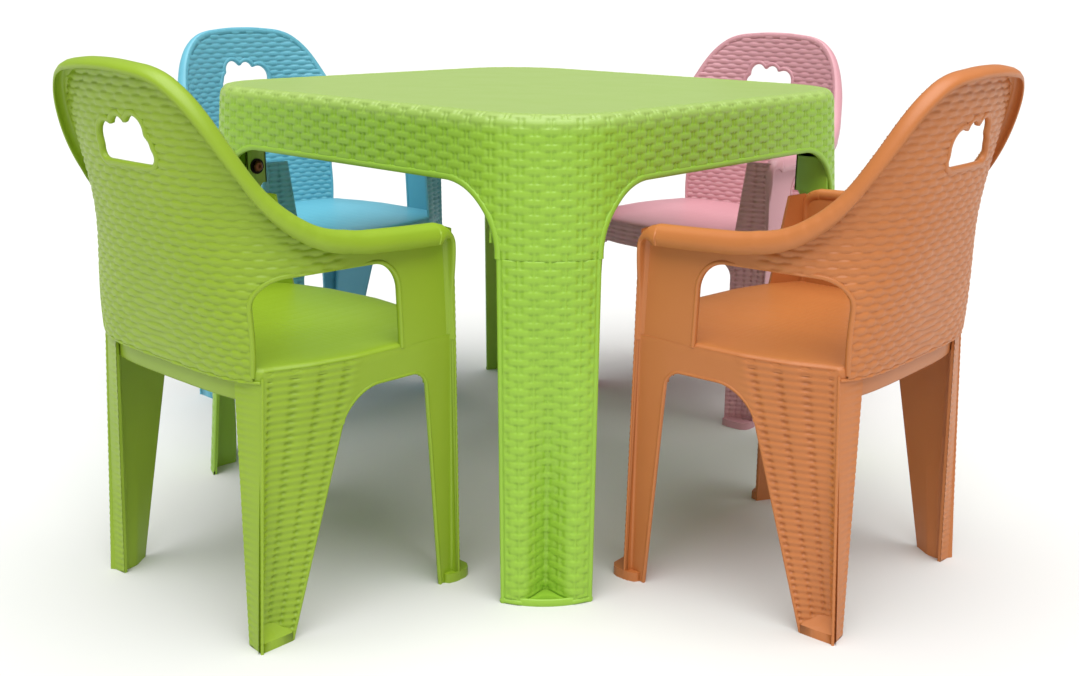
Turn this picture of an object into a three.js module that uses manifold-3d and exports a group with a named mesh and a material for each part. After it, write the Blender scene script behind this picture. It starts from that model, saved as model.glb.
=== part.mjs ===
// Children's table with four armchairs, all moulded in plastic with a rattan look.
// Millimetres, +Z up. The origin is on the floor under the middle of the table.
// A chair is drawn facing +Y about the middle of its own feet and is then turned into place.

import * as THREE from 'three';
import { mergeVertices } from 'three/addons/utils/BufferGeometryUtils.js';
import Module from 'manifold-3d';

const wasm = await Module();
wasm.setup();

// ---- Table sizes ----
const TABLE_SIDE = 578;          // across the top, below its rounded edge
const TABLE_HEIGHT = 480;
const TABLE_SPLAY = 28;          // how far each side leans out from top to floor
const CORNER_RADIUS = 100;
const TABLE_WALL = 3.5;
const TOP_THICKNESS = 4;
const TOP_EDGE_INSET = 8;        // rounding of the top's edge, across
const TOP_EDGE_DROP = 13;        // rounding of the top's edge, down
const APRON_DEPTH = 65;
const ARCH_RADIUS = 70;
const LEG_WIDTH = 75;            // from the corner along each side, where the leg starts
const FOOT_WIDTH = 70;           // the same at the floor
const SEAM_GAP = 0.3;            // between pieces that touch
const SCOOP_DEPTH = 27;          // hollow down the corner of a leg, at the foot
const SCOOP_STOP = 15;           // how far below the seam that hollow runs out
const SCOOP_SHARE = 0.6;         // share of the leg's width that is hollowed
const FOOT_PLATE = 4;

// ---- Leg fixing sizes ----
const SPIGOT_ROOT = 45;          // how far below the seam the spigot starts
const SPIGOT_RISE = 56;          // how far the spigot stands above the seam
const SPIGOT_NEAR = 60;          // its edges, from the corner along the side
const SPIGOT_WIDTH = 23;
const SPIGOT_DEPTH = 28;
const SPIGOT_STANDOFF = 3;       // clear of the table's curved wall
const SPIGOT_WALL = 3;
const SOCKET_WALL = 3;
const SOCKET_LIFT = 14;          // socket mouth above the seam
const SCREW_RADIUS = 2;
const SCREW_LENGTH = 16;
const SCREW_HEAD_RADIUS = 6.5;
const SCREW_HEAD_HEIGHT = 3.5;
const WASHER_RADIUS = 9.5;
const WASHER_THICKNESS = 1.6;
const HOLE_CLEARANCE = 0.4;
const SCREW_RISE = 34.7;         // middle of the screw above the seam

// ---- Chair sizes ----
const SEAT_HEIGHT = 270;
const SEAT_THICKNESS = 4;
const SKIRT_DEPTH = 33;
const SEAT_FRONT = 138;
const SEAT_CORNER = 112;         // where the seat's front edge meets its sides
const SEAT_TUCK = 0.2;           // how far the seat's rear edge stays inside the middle of the shell's wall
const SEAT_OVERLAP = 1;          // how far the seat's sides reach past the middle of the shell's wall
const SHELL_WALL = 3.5;
const SHELL_BOTTOM = 258;
const ARM_FRONT = 98;
const ARM_HALF_WIDTH = 147;
const HIP_HALF_WIDTH = 154;      // half width of the shell at the seat
const SHOULDER_HALF_WIDTH = 186; // half width of the shell's plan at the top of the back
const BACK_AT_SEAT = -126;
const BACK_AT_TOP = -160;
const BACK_TURN = -30;           // where the straight sides turn into the back
const BACK_SQUARENESS = 2.55;    // of the shell's plan above the arms
const SEAT_SQUARENESS = 3.8;     // the same at the seat
const BACK_SHARE = 0.62;         // share of half the shell's run that is the curved back
const BACK_HEIGHT = 534;
const ARM_HEIGHT = 377;
const SHELL_STEPS = 26;          // facets along the run of the shell
const BAND_WIDTH = 15;
const BAND_DROP_BACK = 8;
const BAND_DROP_ARM = 15;
const BAND_WALL = 3.15;
const POST_WIDTH = 66;           // front post, along the arm
const GAP_REAR = -112;
const GAP_UNDER_ARM = 26;        // wall left between the arm's top and its opening
const GAP_RADIUS = 28;
const HOLE_DROP = 92;            // flat lower edge of the hand hole, below the top of the back
const HOLE_LOBES = [             // [x, height above the base, radius] of the cloud's round lobes
  [36, 8, 8], [34, 15, 10], [27, 29, 15], [1, 28, 14], [-20, 19, 17], [-29, 8, 8],
];
const HOLE_BODY = [-30, 36, 26]; // left, right and height of the plain body of the cloud
const LEG_WALL = 3.2;
const FOOT_LEDGE = 6;
const CHAIR_STANDOFF = 121;      // middle of a chair's feet from the table's side

// ---- Colours ----
const LEAF_GREEN = 0x8fbe48;
const LIME = 0xa9c940;
const APRICOT = 0xd98a52;
const ROSE = 0xd79ba1;
const SKY = 0x6fbdd0;
const SCREW_BROWN = 0x6a4a33;
const WASHER_DARK = 0x26201b;

// ---- Solids ----

function clean(geometry) {
  const bare = geometry.clone();
  bare.deleteAttribute('normal');
  bare.deleteAttribute('uv');
  return mergeVertices(bare, 1e-4);
}

function solid(geometry) {
  const merged = clean(geometry);
  return new wasm.Manifold(new wasm.Mesh({
    numProp: 3,
    vertProperties: Float32Array.from(merged.attributes.position.array),
    triVerts: Uint32Array.from(merged.index.array),
  }));
}

function geometryOf(manifold) {
  const mesh = manifold.getMesh();
  const geometry = new THREE.BufferGeometry();
  geometry.setAttribute('position', new THREE.BufferAttribute(Float32Array.from(mesh.vertProperties), 3));
  geometry.setIndex(Array.from(mesh.triVerts));
  geometry.computeVertexNormals();
  return geometry;
}

function joined(manifolds) {
  return manifolds.reduce((whole, next) => whole.add(next));
}

function volumeOf(points, faces) {
  let sum = 0;
  for (const [a, b, c] of faces) {
    sum += points[a].dot(new THREE.Vector3().crossVectors(points[b], points[c]));
  }
  return sum / 6;
}

function meshOf(points, faces) {
  const outward = volumeOf(points, faces) > 0;
  const index = outward ? faces.flat() : faces.map(([a, b, c]) => [a, c, b]).flat();
  const geometry = new THREE.BufferGeometry();
  geometry.setAttribute('position', new THREE.Float32BufferAttribute(points.flatMap((p) => p.toArray()), 3));
  geometry.setIndex(index);
  return geometry;
}

// A curved plate between two surfaces, each a function of two shares from 0 to 1.
function plate(columns, rows, outer, inner) {
  const points = [];
  const faces = [];
  const across = rows + 1;
  const layer = (columns + 1) * across;
  for (const surface of [outer, inner]) {
    for (let i = 0; i <= columns; i += 1) {
      for (let j = 0; j <= rows; j += 1) points.push(surface(i / columns, j / rows));
    }
  }
  const quad = (a, b, c, d) => faces.push([a, b, c], [a, c, d]);
  const at = (i, j) => i * across + j;
  for (let i = 0; i < columns; i += 1) {
    for (let j = 0; j < rows; j += 1) {
      quad(at(i, j), at(i + 1, j), at(i + 1, j + 1), at(i, j + 1));
      quad(layer + at(i, j), layer + at(i, j + 1), layer + at(i + 1, j + 1), layer + at(i + 1, j));
    }
  }
  for (let i = 0; i < columns; i += 1) {
    quad(at(i + 1, 0), at(i, 0), layer + at(i, 0), layer + at(i + 1, 0));
    quad(at(i, rows), at(i + 1, rows), layer + at(i + 1, rows), layer + at(i, rows));
  }
  for (let j = 0; j < rows; j += 1) {
    quad(at(0, j), at(0, j + 1), layer + at(0, j + 1), layer + at(0, j));
    quad(at(columns, j + 1), at(columns, j), layer + at(columns, j), layer + at(columns, j + 1));
  }
  return meshOf(points, faces);
}

// A solid through a stack of convex rings that all have the same number of points.
function loft(rings) {
  const count = rings[0].length;
  const points = rings.flat();
  const faces = [];
  for (let r = 0; r + 1 < rings.length; r += 1) {
    for (let k = 0; k < count; k += 1) {
      const a = r * count + k;
      const b = r * count + ((k + 1) % count);
      faces.push([a, b, b + count], [a, b + count, a + count]);
    }
  }
  const last = points.length - count;
  for (let k = 1; k + 1 < count; k += 1) {
    faces.push([0, k + 1, k], [last, last + k, last + k + 1]);
  }
  return meshOf(points, faces);
}

// Outline in a plane, drawn as [across, up] pairs or a Shape, pushed along the plane's normal.
function prism(outline, depth) {
  const shape = outline instanceof THREE.Shape
    ? outline : new THREE.Shape(outline.map(([x, y]) => new THREE.Vector2(x, y)));
  return new THREE.ExtrudeGeometry(shape, { depth, bevelEnabled: false, curveSegments: 5 });
}

// The same prism with its outline standing in XZ and its depth along Y, from `from` onwards.
function uprightPrism(outline, from, depth) {
  return prism(outline, depth).rotateX(Math.PI / 2).translate(0, from + depth, 0);
}

function box(x0, x1, y0, y1, z0, z1) {
  return new THREE.BoxGeometry(x1 - x0, y1 - y0, z1 - z0)
    .translate((x0 + x1) / 2, (y0 + y1) / 2, (z0 + z1) / 2);
}

function mix(a, b, share) {
  return a + (b - a) * share;
}

function smooth(share) {
  const s = THREE.MathUtils.clamp(share, 0, 1);
  return s * s * (3 - 2 * s);
}

// Height or width between listed stations, [[where, value], ...], in straight steps.
function between(stations, where) {
  const next = stations.findIndex(([at]) => at >= where);
  if (next === 0) return stations[0][1];
  if (next < 0) return stations.at(-1)[1];
  const [a, low] = stations[next - 1];
  const [b, high] = stations[next];
  return mix(low, high, (where - a) / (b - a));
}

function piece(name, geometry, color, roughness, metalness = 0) {
  const mesh = new THREE.Mesh(geometry, new THREE.MeshStandardMaterial({ color, roughness, metalness }));
  mesh.name = name;
  return mesh;
}

// ---- Table ----

const seamHeight = TABLE_HEIGHT - APRON_DEPTH - ARCH_RADIUS;
const spigotStart = seamHeight - SPIGOT_ROOT;

// Half the table's width at a height: the sides lean out towards the floor.
function tableHalf(z) {
  return TABLE_SIDE / 2 + TABLE_SPLAY * (1 - z / TABLE_HEIGHT);
}

// Angle round the corner of an upright edge that stands `width` from the corner.
function edgeAngle(width) {
  return Math.asin((CORNER_RADIUS - width) / CORNER_RADIUS);
}

// A point on the table's outer face in the corner at -X -Y, set in by `inset`.
function cornerPoint(angle, z, inset) {
  const centre = CORNER_RADIUS - tableHalf(z);
  const radius = CORNER_RADIUS - inset;
  return new THREE.Vector3(centre - radius * Math.cos(angle), centre - radius * Math.sin(angle), z);
}

function topRing(z, inset) {
  const ring = [];
  const steps = 6;
  for (let corner = 0; corner < 4; corner += 1) {
    for (let k = 0; k <= steps; k += 1) {
      const point = cornerPoint((k / steps) * (Math.PI / 2), z, inset);
      ring.push(point.applyAxisAngle(new THREE.Vector3(0, 0, 1), corner * (Math.PI / 2)));
    }
  }
  return ring;
}

// The top's outer face as rings from its flat down to the seam, set in by `inset`.
function outerRings(inset) {
  const rounded = [0, 1 / 3, 2 / 3, 1].map((share) => {
    const angle = share * (Math.PI / 2);
    const drop = TOP_EDGE_DROP * (1 - Math.cos(angle));
    return topRing(TABLE_HEIGHT - inset - drop, inset + TOP_EDGE_INSET * (1 - Math.sin(angle)));
  });
  return [...rounded, topRing(seamHeight + SEAM_GAP / 2, inset)];
}

function topShell() {
  const inner = [
    topRing(seamHeight + SEAM_GAP / 2, TABLE_WALL),
    topRing(TABLE_HEIGHT - TOP_EDGE_DROP, TABLE_WALL),
    topRing(TABLE_HEIGHT - TOP_THICKNESS, TABLE_WALL + TOP_EDGE_INSET * 0.6),
  ];
  return solid(loft([...outerRings(0), ...inner]));
}

// The opening between two legs, with round upper corners, as an outline along a side.
function archShape() {
  const side = tableHalf(seamHeight) - LEG_WIDTH;
  const low = seamHeight - TABLE_WALL;
  const crown = seamHeight + ARCH_RADIUS;
  const shape = new THREE.Shape();
  shape.moveTo(-side, low);
  shape.lineTo(side, low);
  shape.lineTo(side, seamHeight);
  shape.absarc(side - ARCH_RADIUS, seamHeight, ARCH_RADIUS, 0, Math.PI / 2, false);
  shape.lineTo(ARCH_RADIUS - side, crown);
  shape.absarc(ARCH_RADIUS - side, seamHeight, ARCH_RADIUS, Math.PI / 2, Math.PI, false);
  return shape;
}

// Box ranges of the spigot and of its socket, in the corner at -X -Y.
const spigotTop = seamHeight + SPIGOT_RISE;
const cornerBow = CORNER_RADIUS * (1 - Math.cos(edgeAngle(SPIGOT_NEAR)));
const spigotOuter = -tableHalf(spigotTop) + cornerBow + TABLE_WALL + SPIGOT_STANDOFF;
const spigotInner = spigotOuter + SPIGOT_DEPTH;
const spigotNear = -tableHalf(seamHeight) + SPIGOT_NEAR;
const screwY = spigotNear + SPIGOT_WIDTH / 2;
const screwZ = seamHeight + SCREW_RISE;

function turned(geometry, corner) {
  return geometry.clone().rotateZ(corner * (Math.PI / 2));
}

function screwHole(x) {
  const radius = SCREW_RADIUS + HOLE_CLEARANCE;
  return new THREE.CylinderGeometry(radius, radius, SPIGOT_DEPTH, 12)
    .rotateZ(Math.PI / 2).translate(x, screwY, screwZ);
}

// Three walls round the spigot, hanging from the top; the table's own wall is the fourth.
function socketBlock() {
  const inner = spigotInner + SEAM_GAP + SOCKET_WALL;
  const near = spigotNear - SEAM_GAP - SOCKET_WALL;
  const far = spigotNear + SPIGOT_WIDTH + SEAM_GAP + SOCKET_WALL;
  const mouth = seamHeight + SOCKET_LIFT;
  const ceiling = TABLE_HEIGHT - TOP_THICKNESS / 2;
  const within = solid(loft(outerRings(TABLE_WALL * 0.4)));
  const block = solid(box(-tableHalf(0), inner, near, far, mouth, ceiling)).intersect(within);
  const pocket = solid(box(spigotOuter - SEAM_GAP, inner - SOCKET_WALL,
    near + SOCKET_WALL, far - SOCKET_WALL, mouth - 1, spigotTop + SEAM_GAP));
  return block.subtract(pocket).subtract(solid(screwHole(inner)));
}

function tableTop() {
  const reach = TABLE_SIDE * 1.2;
  const arch = uprightPrism(archShape(), -reach / 2, reach);
  let top = topShell().subtract(solid(arch)).subtract(solid(turned(arch, 1)));
  const block = geometryOf(socketBlock());
  for (let corner = 0; corner < 4; corner += 1) top = top.add(solid(turned(block, corner)));
  return geometryOf(top);
}

// How deep the hollow down the leg's corner is; share runs from one edge (-1) to the other (1).
function scoop(share, z) {
  const across = Math.abs(share) < SCOOP_SHARE ? Math.cos((share / SCOOP_SHARE) * (Math.PI / 2)) ** 2 : 0;
  return SCOOP_DEPTH * across * smooth(1 - z / (seamHeight - SCOOP_STOP));
}

// A point on the leg as it would be with no hollow; share runs from 0 to 1 across it.
function footPoint(share, z, inset) {
  const edge = edgeAngle(mix(FOOT_WIDTH, LEG_WIDTH, z / seamHeight));
  return cornerPoint(mix(edge, Math.PI / 2 - edge, share), z, inset);
}

function legPoint(share, z, inset) {
  return footPoint(share, z, inset + scoop(share * 2 - 1, z));
}

// A hollow box that rises from the leg into the socket, with a root that grows out of the leg's wall.
function spigot() {
  const far = SPIGOT_NEAR + SPIGOT_WIDTH;
  const slim = LEG_WIDTH - TABLE_WALL;
  const under = seamHeight - SEAM_GAP / 2;
  const upright = new THREE.Matrix4().makeBasis(
    new THREE.Vector3(0, 1, 0), new THREE.Vector3(0, 0, 1), new THREE.Vector3(1, 0, 0));
  const standing = (outline, x0, x1) => {
    const placed = outline.map(([w, z]) => [w - tableHalf(seamHeight), z]);
    return solid(prism(placed, x1 - x0).applyMatrix4(upright).translate(x0, 0, 0));
  };
  const box3 = standing([[SPIGOT_NEAR, spigotStart], [slim, spigotStart], [slim, seamHeight],
    [far, seamHeight + SOCKET_LIFT - 1], [far, spigotTop], [SPIGOT_NEAR, spigotTop]], spigotOuter, spigotInner);
  const bore = standing([[SPIGOT_NEAR + SPIGOT_WALL, spigotStart - 1], [slim - SPIGOT_WALL, spigotStart - 1],
    [slim - SPIGOT_WALL, spigotTop - SPIGOT_WALL], [SPIGOT_NEAR + SPIGOT_WALL, spigotTop - SPIGOT_WALL]],
  spigotOuter + SPIGOT_WALL, spigotInner - SPIGOT_WALL);
  const onWall = (u, v) => {
    const edge = edgeAngle(mix(SPIGOT_NEAR, slim, u));
    return cornerPoint(edge, mix(spigotStart, under, v), TABLE_WALL / 2);
  };
  const onBox = (u, v) => onWall(u, v).setX(spigotOuter + SPIGOT_WALL / 2);
  const root = solid(plate(2, 1, onWall, onBox));
  return box3.add(root).subtract(bore).subtract(solid(screwHole(spigotInner)));
}

function tableLeg() {
  const top = seamHeight - SEAM_GAP / 2;
  const wall = plate(10, 5,
    (u, v) => legPoint(u, v * top, 0),
    (u, v) => legPoint(u, v * top, TABLE_WALL));
  const hollowed = (u) => mix(0.5 - SCOOP_SHARE / 1.7, 0.5 + SCOOP_SHARE / 1.7, u);
  const foot = plate(8, 1,
    (u, v) => footPoint(hollowed(u), v * FOOT_PLATE, TABLE_WALL * 0.2),
    (u, v) => legPoint(hollowed(u), v * FOOT_PLATE, TABLE_WALL * 0.6));
  return geometryOf(joined([solid(wall), solid(foot), spigot()]));
}

// Screw and washer lie along X with the head on the +X side, against the socket's inner wall.
const socketFace = spigotInner + SEAM_GAP + SOCKET_WALL;

function washer() {
  const hole = SCREW_RADIUS + HOLE_CLEARANCE;
  const profile = [[hole, 0], [WASHER_RADIUS, 0], [WASHER_RADIUS, WASHER_THICKNESS],
    [hole, WASHER_THICKNESS], [hole, 0]];
  return new THREE.LatheGeometry(profile.map(([x, y]) => new THREE.Vector2(x, y)), 20)
    .rotateZ(-Math.PI / 2).translate(socketFace + SEAM_GAP, screwY, screwZ);
}

function screw() {
  const seat = 2 * SEAM_GAP + WASHER_THICKNESS;
  const recess = SCREW_HEAD_RADIUS * 0.35;
  const dome = SCREW_HEAD_HEIGHT * 0.6;
  const profile = [[0, -SCREW_LENGTH], [SCREW_RADIUS * 0.4, -SCREW_LENGTH], [SCREW_RADIUS, 2 - SCREW_LENGTH],
    [SCREW_RADIUS, 0], [SCREW_HEAD_RADIUS, 0], [SCREW_HEAD_RADIUS, dome],
    [SCREW_HEAD_RADIUS * 0.7, SCREW_HEAD_HEIGHT], [recess, SCREW_HEAD_HEIGHT], [recess, dome], [0, dome]];
  return new THREE.LatheGeometry(profile.map(([x, y]) => new THREE.Vector2(x, y)), 16)
    .rotateZ(-Math.PI / 2).translate(socketFace + seat, screwY, screwZ);
}

// ---- Chair shell: one wall that runs from the left arm round the back to the right arm ----

// Height of the top edge along the run, as a share of the way up from the arm to the top of the back.
const TOP_SHARES = [[0, 1], [0.12, 0.955], [0.17, 0.88], [0.22, 0.77], [0.3, 0.54], [0.38, 0.34],
  [0.46, 0.2], [0.55, 0.09], [0.65, 0.03], [0.8, 0.013], [1, 0]];

function shellTop(run) {
  return mix(ARM_HEIGHT, BACK_HEIGHT, between(TOP_SHARES, Math.abs(run)));
}

function shellHalf(z) {
  return between([[SEAT_HEIGHT, HIP_HALF_WIDTH], [ARM_HEIGHT + BAND_DROP_ARM, ARM_HALF_WIDTH],
    [BACK_HEIGHT - BAND_DROP_ARM, SHOULDER_HALF_WIDTH]], z);
}

function backAt(z) {
  return mix(BACK_AT_SEAT, BACK_AT_TOP, (z - SEAT_HEIGHT) / (BACK_HEIGHT - SEAT_HEIGHT));
}

// Middle of the wall at a height; run goes from the left arm's front (-1) to the right arm's (1).
function shellPoint(run, z) {
  const turn = THREE.MathUtils.clamp(run / BACK_SHARE, -1, 1) * (Math.PI / 2);
  const power = 2 / between([[SEAT_HEIGHT, SEAT_SQUARENESS], [ARM_HEIGHT, BACK_SQUARENESS]], z);
  const x = shellHalf(z) * Math.sign(turn) * Math.abs(Math.sin(turn)) ** power;
  const back = (BACK_TURN - backAt(z)) * Math.abs(Math.cos(turn)) ** power;
  const forward = Math.max(0, (Math.abs(run) - BACK_SHARE) / (1 - BACK_SHARE)) * (ARM_FRONT - BACK_TURN);
  return new THREE.Vector3(x, BACK_TURN - back + forward, z);
}

function shellNormal(run, z) {
  const step = 0.012;
  const ahead = shellPoint(Math.min(run + step, 1), z);
  const behind = shellPoint(Math.max(run - step, -1), z);
  return new THREE.Vector3(ahead.y - behind.y, behind.x - ahead.x, 0).normalize();
}

function offShell(run, z, out, up = 0) {
  const point = shellPoint(run, z).addScaledVector(shellNormal(run, z), out);
  point.z += up;
  return point;
}

function shellWall() {
  const surface = (out) => (u, v) => {
    const run = u * 2 - 1;
    return offShell(run, mix(SHELL_BOTTOM, shellTop(run) - 1, v), out);
  };
  return solid(plate(SHELL_STEPS, 3, surface(SHELL_WALL / 2), surface(-SHELL_WALL / 2)));
}

// The rolled rim along the top of the back and arms: over the wall's edge, out and down.
function rim() {
  const drop = (run) => mix(BAND_DROP_BACK, BAND_DROP_ARM, smooth((Math.abs(run) - 0.25) / 0.35));
  const profile = [[-0.5, -0.5], [-0.35, 0], [0.45, -0.08], [0.85, -0.45], [1, -1]];
  const surface = (thin) => (u, v) => {
    const run = u * 2 - 1;
    const place = v * (profile.length - 1);
    const [out, up] = profile[Math.round(place)];
    const reach = out > 0 ? out * (BAND_WIDTH - thin) : out * SHELL_WALL;
    return offShell(run, shellTop(run), reach, up * drop(run) - thin * (v < 1 ? 1 : 0));
  };
  return solid(plate(SHELL_STEPS, profile.length - 1, surface(0), surface(BAND_WALL)));
}

// The opening under each arm, pushed through both sides.
function armGap() {
  const rear = GAP_REAR;
  const front = ARM_FRONT - POST_WIDTH;
  const low = SEAT_HEIGHT;
  const turn = ARM_HEIGHT - GAP_UNDER_ARM - GAP_RADIUS;
  const shape = new THREE.Shape();
  shape.moveTo(rear, low);
  shape.lineTo(front, low);
  shape.lineTo(front, turn);
  shape.absarc(front - GAP_RADIUS, turn, GAP_RADIUS, 0, Math.PI / 2, false);
  shape.lineTo(rear + GAP_RADIUS, turn + GAP_RADIUS);
  shape.absarc(rear + GAP_RADIUS, turn, GAP_RADIUS, Math.PI / 2, Math.PI, false);
  return solid(uprightPrism(shape, -2 * HIP_HALF_WIDTH, 4 * HIP_HALF_WIDTH).rotateZ(Math.PI / 2));
}

// The cloud-shaped hand hole: a flat base and lobes that rise towards the chair's right.
function handHole() {
  const through = -BACK_AT_TOP;
  const floor = BACK_HEIGHT - HOLE_DROP;
  const lobe = ([x, z, radius]) => solid(new THREE.CylinderGeometry(radius, radius, through, 12)
    .translate(x, BACK_AT_TOP, floor + z));
  const [left, right, high] = HOLE_BODY;
  const behind = BACK_AT_TOP - through / 2;
  const base = solid(box(left, right, behind, behind + through, floor, floor + high));
  return joined([base, ...HOLE_LOBES.map(lobe)]);
}

// ---- Chair seat ----

// Outline of the seat in plan, set in by `inset`; the rear follows the shell.
function seatOutline(inset) {
  const side = HIP_HALF_WIDTH + SEAT_OVERLAP - inset;
  const outline = [];
  const half = Math.floor((BACK_SHARE * SHELL_STEPS) / 2);
  for (let k = -half; k <= half; k += 1) {
    const point = offShell((2 * k) / SHELL_STEPS, SEAT_HEIGHT, -inset - SEAT_TUCK);
    outline.push([point.x, point.y]);
  }
  const steps = 10;
  for (let k = 0; k <= steps; k += 1) {
    const share = 1 - (2 * k) / steps;
    const x = side * Math.sign(share) * Math.abs(share) ** 0.6;
    outline.push([x, mix(SEAT_FRONT, SEAT_CORNER, Math.abs(share) ** 5) - inset]);
  }
  return outline;
}

function seat() {
  const bottom = SEAT_HEIGHT - SKIRT_DEPTH;
  const slab = prism(seatOutline(0), SKIRT_DEPTH).translate(0, 0, bottom);
  const hollow = prism(seatOutline(SHELL_WALL), SKIRT_DEPTH).translate(0, 0, bottom - SEAT_THICKNESS);
  return solid(slab).subtract(solid(hollow));
}

// ---- Chair legs: folded walls, closed by a ledge at the foot ----

// Each line of the fold is [x, y] at the floor and [x, y] at the seat, for the right-hand legs.
// They are drawn for a chair of this half width, and follow HIP_HALF_WIDTH when it changes.
const FOLD_HALF_WIDTH = 154;
const spread = HIP_HALF_WIDTH / FOLD_HALF_WIDTH;
const REAR_FOLD = [
  [[110, -123], [100, -117]],
  [[131, -125], [130, -110]],
  [[119, -117], [133, -98]],
  [[125, -103], [143, -70]],
  [[131, -89], [151, -28]],
];
const FRONT_FOLD = [
  [[150, 84], [152, 62]],
  [[148, 100], [148, 96]],
  [[156, 104], [157, 98]],
  [[137, 103], [140, 104]],
  [[118, 116], [116, 118]],
];
const TOE_OUTLINE = [            // block at the foot of the front leg, pushed out past its front
  [148.5, 86], [154, 89], [157, 100], [157, 117], [150, 124],
  [119, 124], [118.5, 114.2], [137, 101.5], [146.8, 98.8],
];
const TOE_HEIGHT = 9;
const POST_STEP = 0.4;           // the post's front wall stands this far out of the leg's
const POST_TUCK = 0.07;          // and starts this far inside its edges, as a share of one fold
const SLIVER = 0.1;              // edges shorter than this are closed up
const POST_ENDS = [              // its upper end: out from the arm's half width, ahead of the arm's front
  [6, 0], [-7, 1.5], [-25, 4],
];
const SIDE_SWELL = 12;           // how the edge towards the arch curves out under the seat
const SWELL_START = 160;         // height where that starts
const SWELL_RUN = 80;

function foldPoint(fold, place, z, swell) {
  const low = Math.min(Math.floor(place), fold.length - 2);
  const rise = z / (SEAT_HEIGHT - SKIRT_DEPTH);
  const line = ([foot, seatEnd]) => new THREE.Vector2(
    mix(foot[0], seatEnd[0], rise), mix(foot[1], seatEnd[1], rise));
  const point = line(fold[low]).lerp(line(fold[low + 1]), place - low);
  const edge = swell > 0 ? place === fold.length - 1 : place === 0;
  if (edge) point.y += swell * smooth((z - SWELL_START) / SWELL_RUN);
  return new THREE.Vector3(point.x * spread, point.y, z);
}

// From the outer face of the fold to its inner face.
function foldInward(fold, place, z, swell) {
  const a = foldPoint(fold, Math.max(place - 0.5, 0), z, swell);
  const b = foldPoint(fold, Math.min(place + 0.5, fold.length - 1), z, swell);
  return new THREE.Vector3(a.y - b.y, b.x - a.x, 0).normalize().multiplyScalar(LEG_WALL);
}

function foldedLeg(fold, swell) {
  const top = SEAT_HEIGHT - SEAT_THICKNESS * 0.6;
  const steps = fold.length - 1;
  const outer = (u, v) => foldPoint(fold, u * steps, v * top, swell);
  const inner = (u, v) => outer(u, v).add(foldInward(fold, u * steps, v * top, swell));
  return solid(plate(steps, 4, outer, inner));
}

function mirrored(manifold) {
  const geometry = geometryOf(manifold);
  geometry.scale(-1, 1, 1);
  const index = Array.from(geometry.index.array);
  for (let k = 0; k < index.length; k += 3) [index[k], index[k + 1]] = [index[k + 1], index[k]];
  geometry.setIndex(index);
  return solid(geometry);
}

// Ledge that closes the rear leg's fold at the floor, from the rim to the other edge.
function rearLedge() {
  const middle = [1, 2, 3, 3.9].map((place) => {
    const point = foldPoint(REAR_FOLD, place, 0, 0).addScaledVector(foldInward(REAR_FOLD, place, 0, 0), 0.5);
    return [point.x, point.y];
  });
  return solid(prism(middle, FOOT_LEDGE));
}

function chairLegs() {
  const toe = solid(prism(TOE_OUTLINE.map(([x, y]) => [x * spread, y]), TOE_HEIGHT));
  const right = [foldedLeg(REAR_FOLD, SIDE_SWELL), rearLedge(), foldedLeg(FRONT_FOLD, -SIDE_SWELL), toe];
  return right.concat(right.map(mirrored));
}

// The front wall of each arm post, from the front leg's fold up to the arm.
function postFront() {
  const low = SEAT_HEIGHT - SKIRT_DEPTH * 0.9;
  const high = ARM_HEIGHT - BAND_DROP_ARM / 4;
  const line = (u, v) => {
    const [out, ahead] = POST_ENDS[Math.round(u * (POST_ENDS.length - 1))];
    const foot = foldPoint(FRONT_FOLD, mix(2 + POST_TUCK, FRONT_FOLD.length - 1 - POST_TUCK, u), low, 0);
    const x = mix(foot.x, ARM_HALF_WIDTH + out, v);
    return new THREE.Vector3(x, mix(foot.y, ARM_FRONT + ahead, v) + POST_STEP, mix(low, high, v));
  };
  const inner = (u, v) => line(u, v).add(new THREE.Vector3(0, -LEG_WALL, 0));
  return solid(plate(2, 1, line, inner));
}

function chair() {
  const shell = shellWall().add(rim()).subtract(armGap()).subtract(handHole());
  const post = postFront();
  return geometryOf(joined([shell, seat(), post, mirrored(post), ...chairLegs()]).simplify(SLIVER));
}

// ---- The set ----

const CORNERS = ['left', 'near', 'right', 'far'];
const CHAIRS = [
  { name: 'chair_lime', color: LIME, quarter: 0, shift: 25 },
  { name: 'chair_apricot', color: APRICOT, quarter: 1, shift: -30 },
  { name: 'chair_rose', color: ROSE, quarter: 2, shift: 5 },
  { name: 'chair_sky', color: SKY, quarter: 3, shift: 10 },
];

function tableGroup() {
  const table = new THREE.Group();
  table.add(piece('table_top', tableTop(), LEAF_GREEN, 0.45));
  CORNERS.forEach((corner, quarter) => {
    const parts = [
      piece(`table_leg_${corner}`, tableLeg(), LEAF_GREEN, 0.45),
      piece(`leg_screw_${corner}`, screw(), SCREW_BROWN, 0.4, 0.8),
      piece(`leg_washer_${corner}`, washer(), WASHER_DARK, 0.5, 0.6),
    ];
    for (const part of parts) {
      part.rotation.z = quarter * (Math.PI / 2);
      table.add(part);
    }
  });
  return table;
}

function chairMesh({ name, color, quarter, shift }) {
  const mesh = piece(name, chair(), color, 0.5);
  const turn = quarter * (Math.PI / 2);
  const place = new THREE.Vector3(shift, -TABLE_SIDE / 2 - CHAIR_STANDOFF, 0);
  mesh.rotation.z = turn;
  mesh.position.copy(place.applyAxisAngle(new THREE.Vector3(0, 0, 1), turn));
  return mesh;
}

const tableSet = new THREE.Group();
tableSet.add(tableGroup());
for (const entry of CHAIRS) tableSet.add(chairMesh(entry));

export default tableSet;
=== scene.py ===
# Children's table with four armchairs, each moulded in plastic with the look of woven rattan.
# Shapes are worked out in millimetres, in the frame of the CAD part, and become metres in the mesh.
import math

import bpy
import numpy as np
from mathutils import Matrix, Vector


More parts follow.
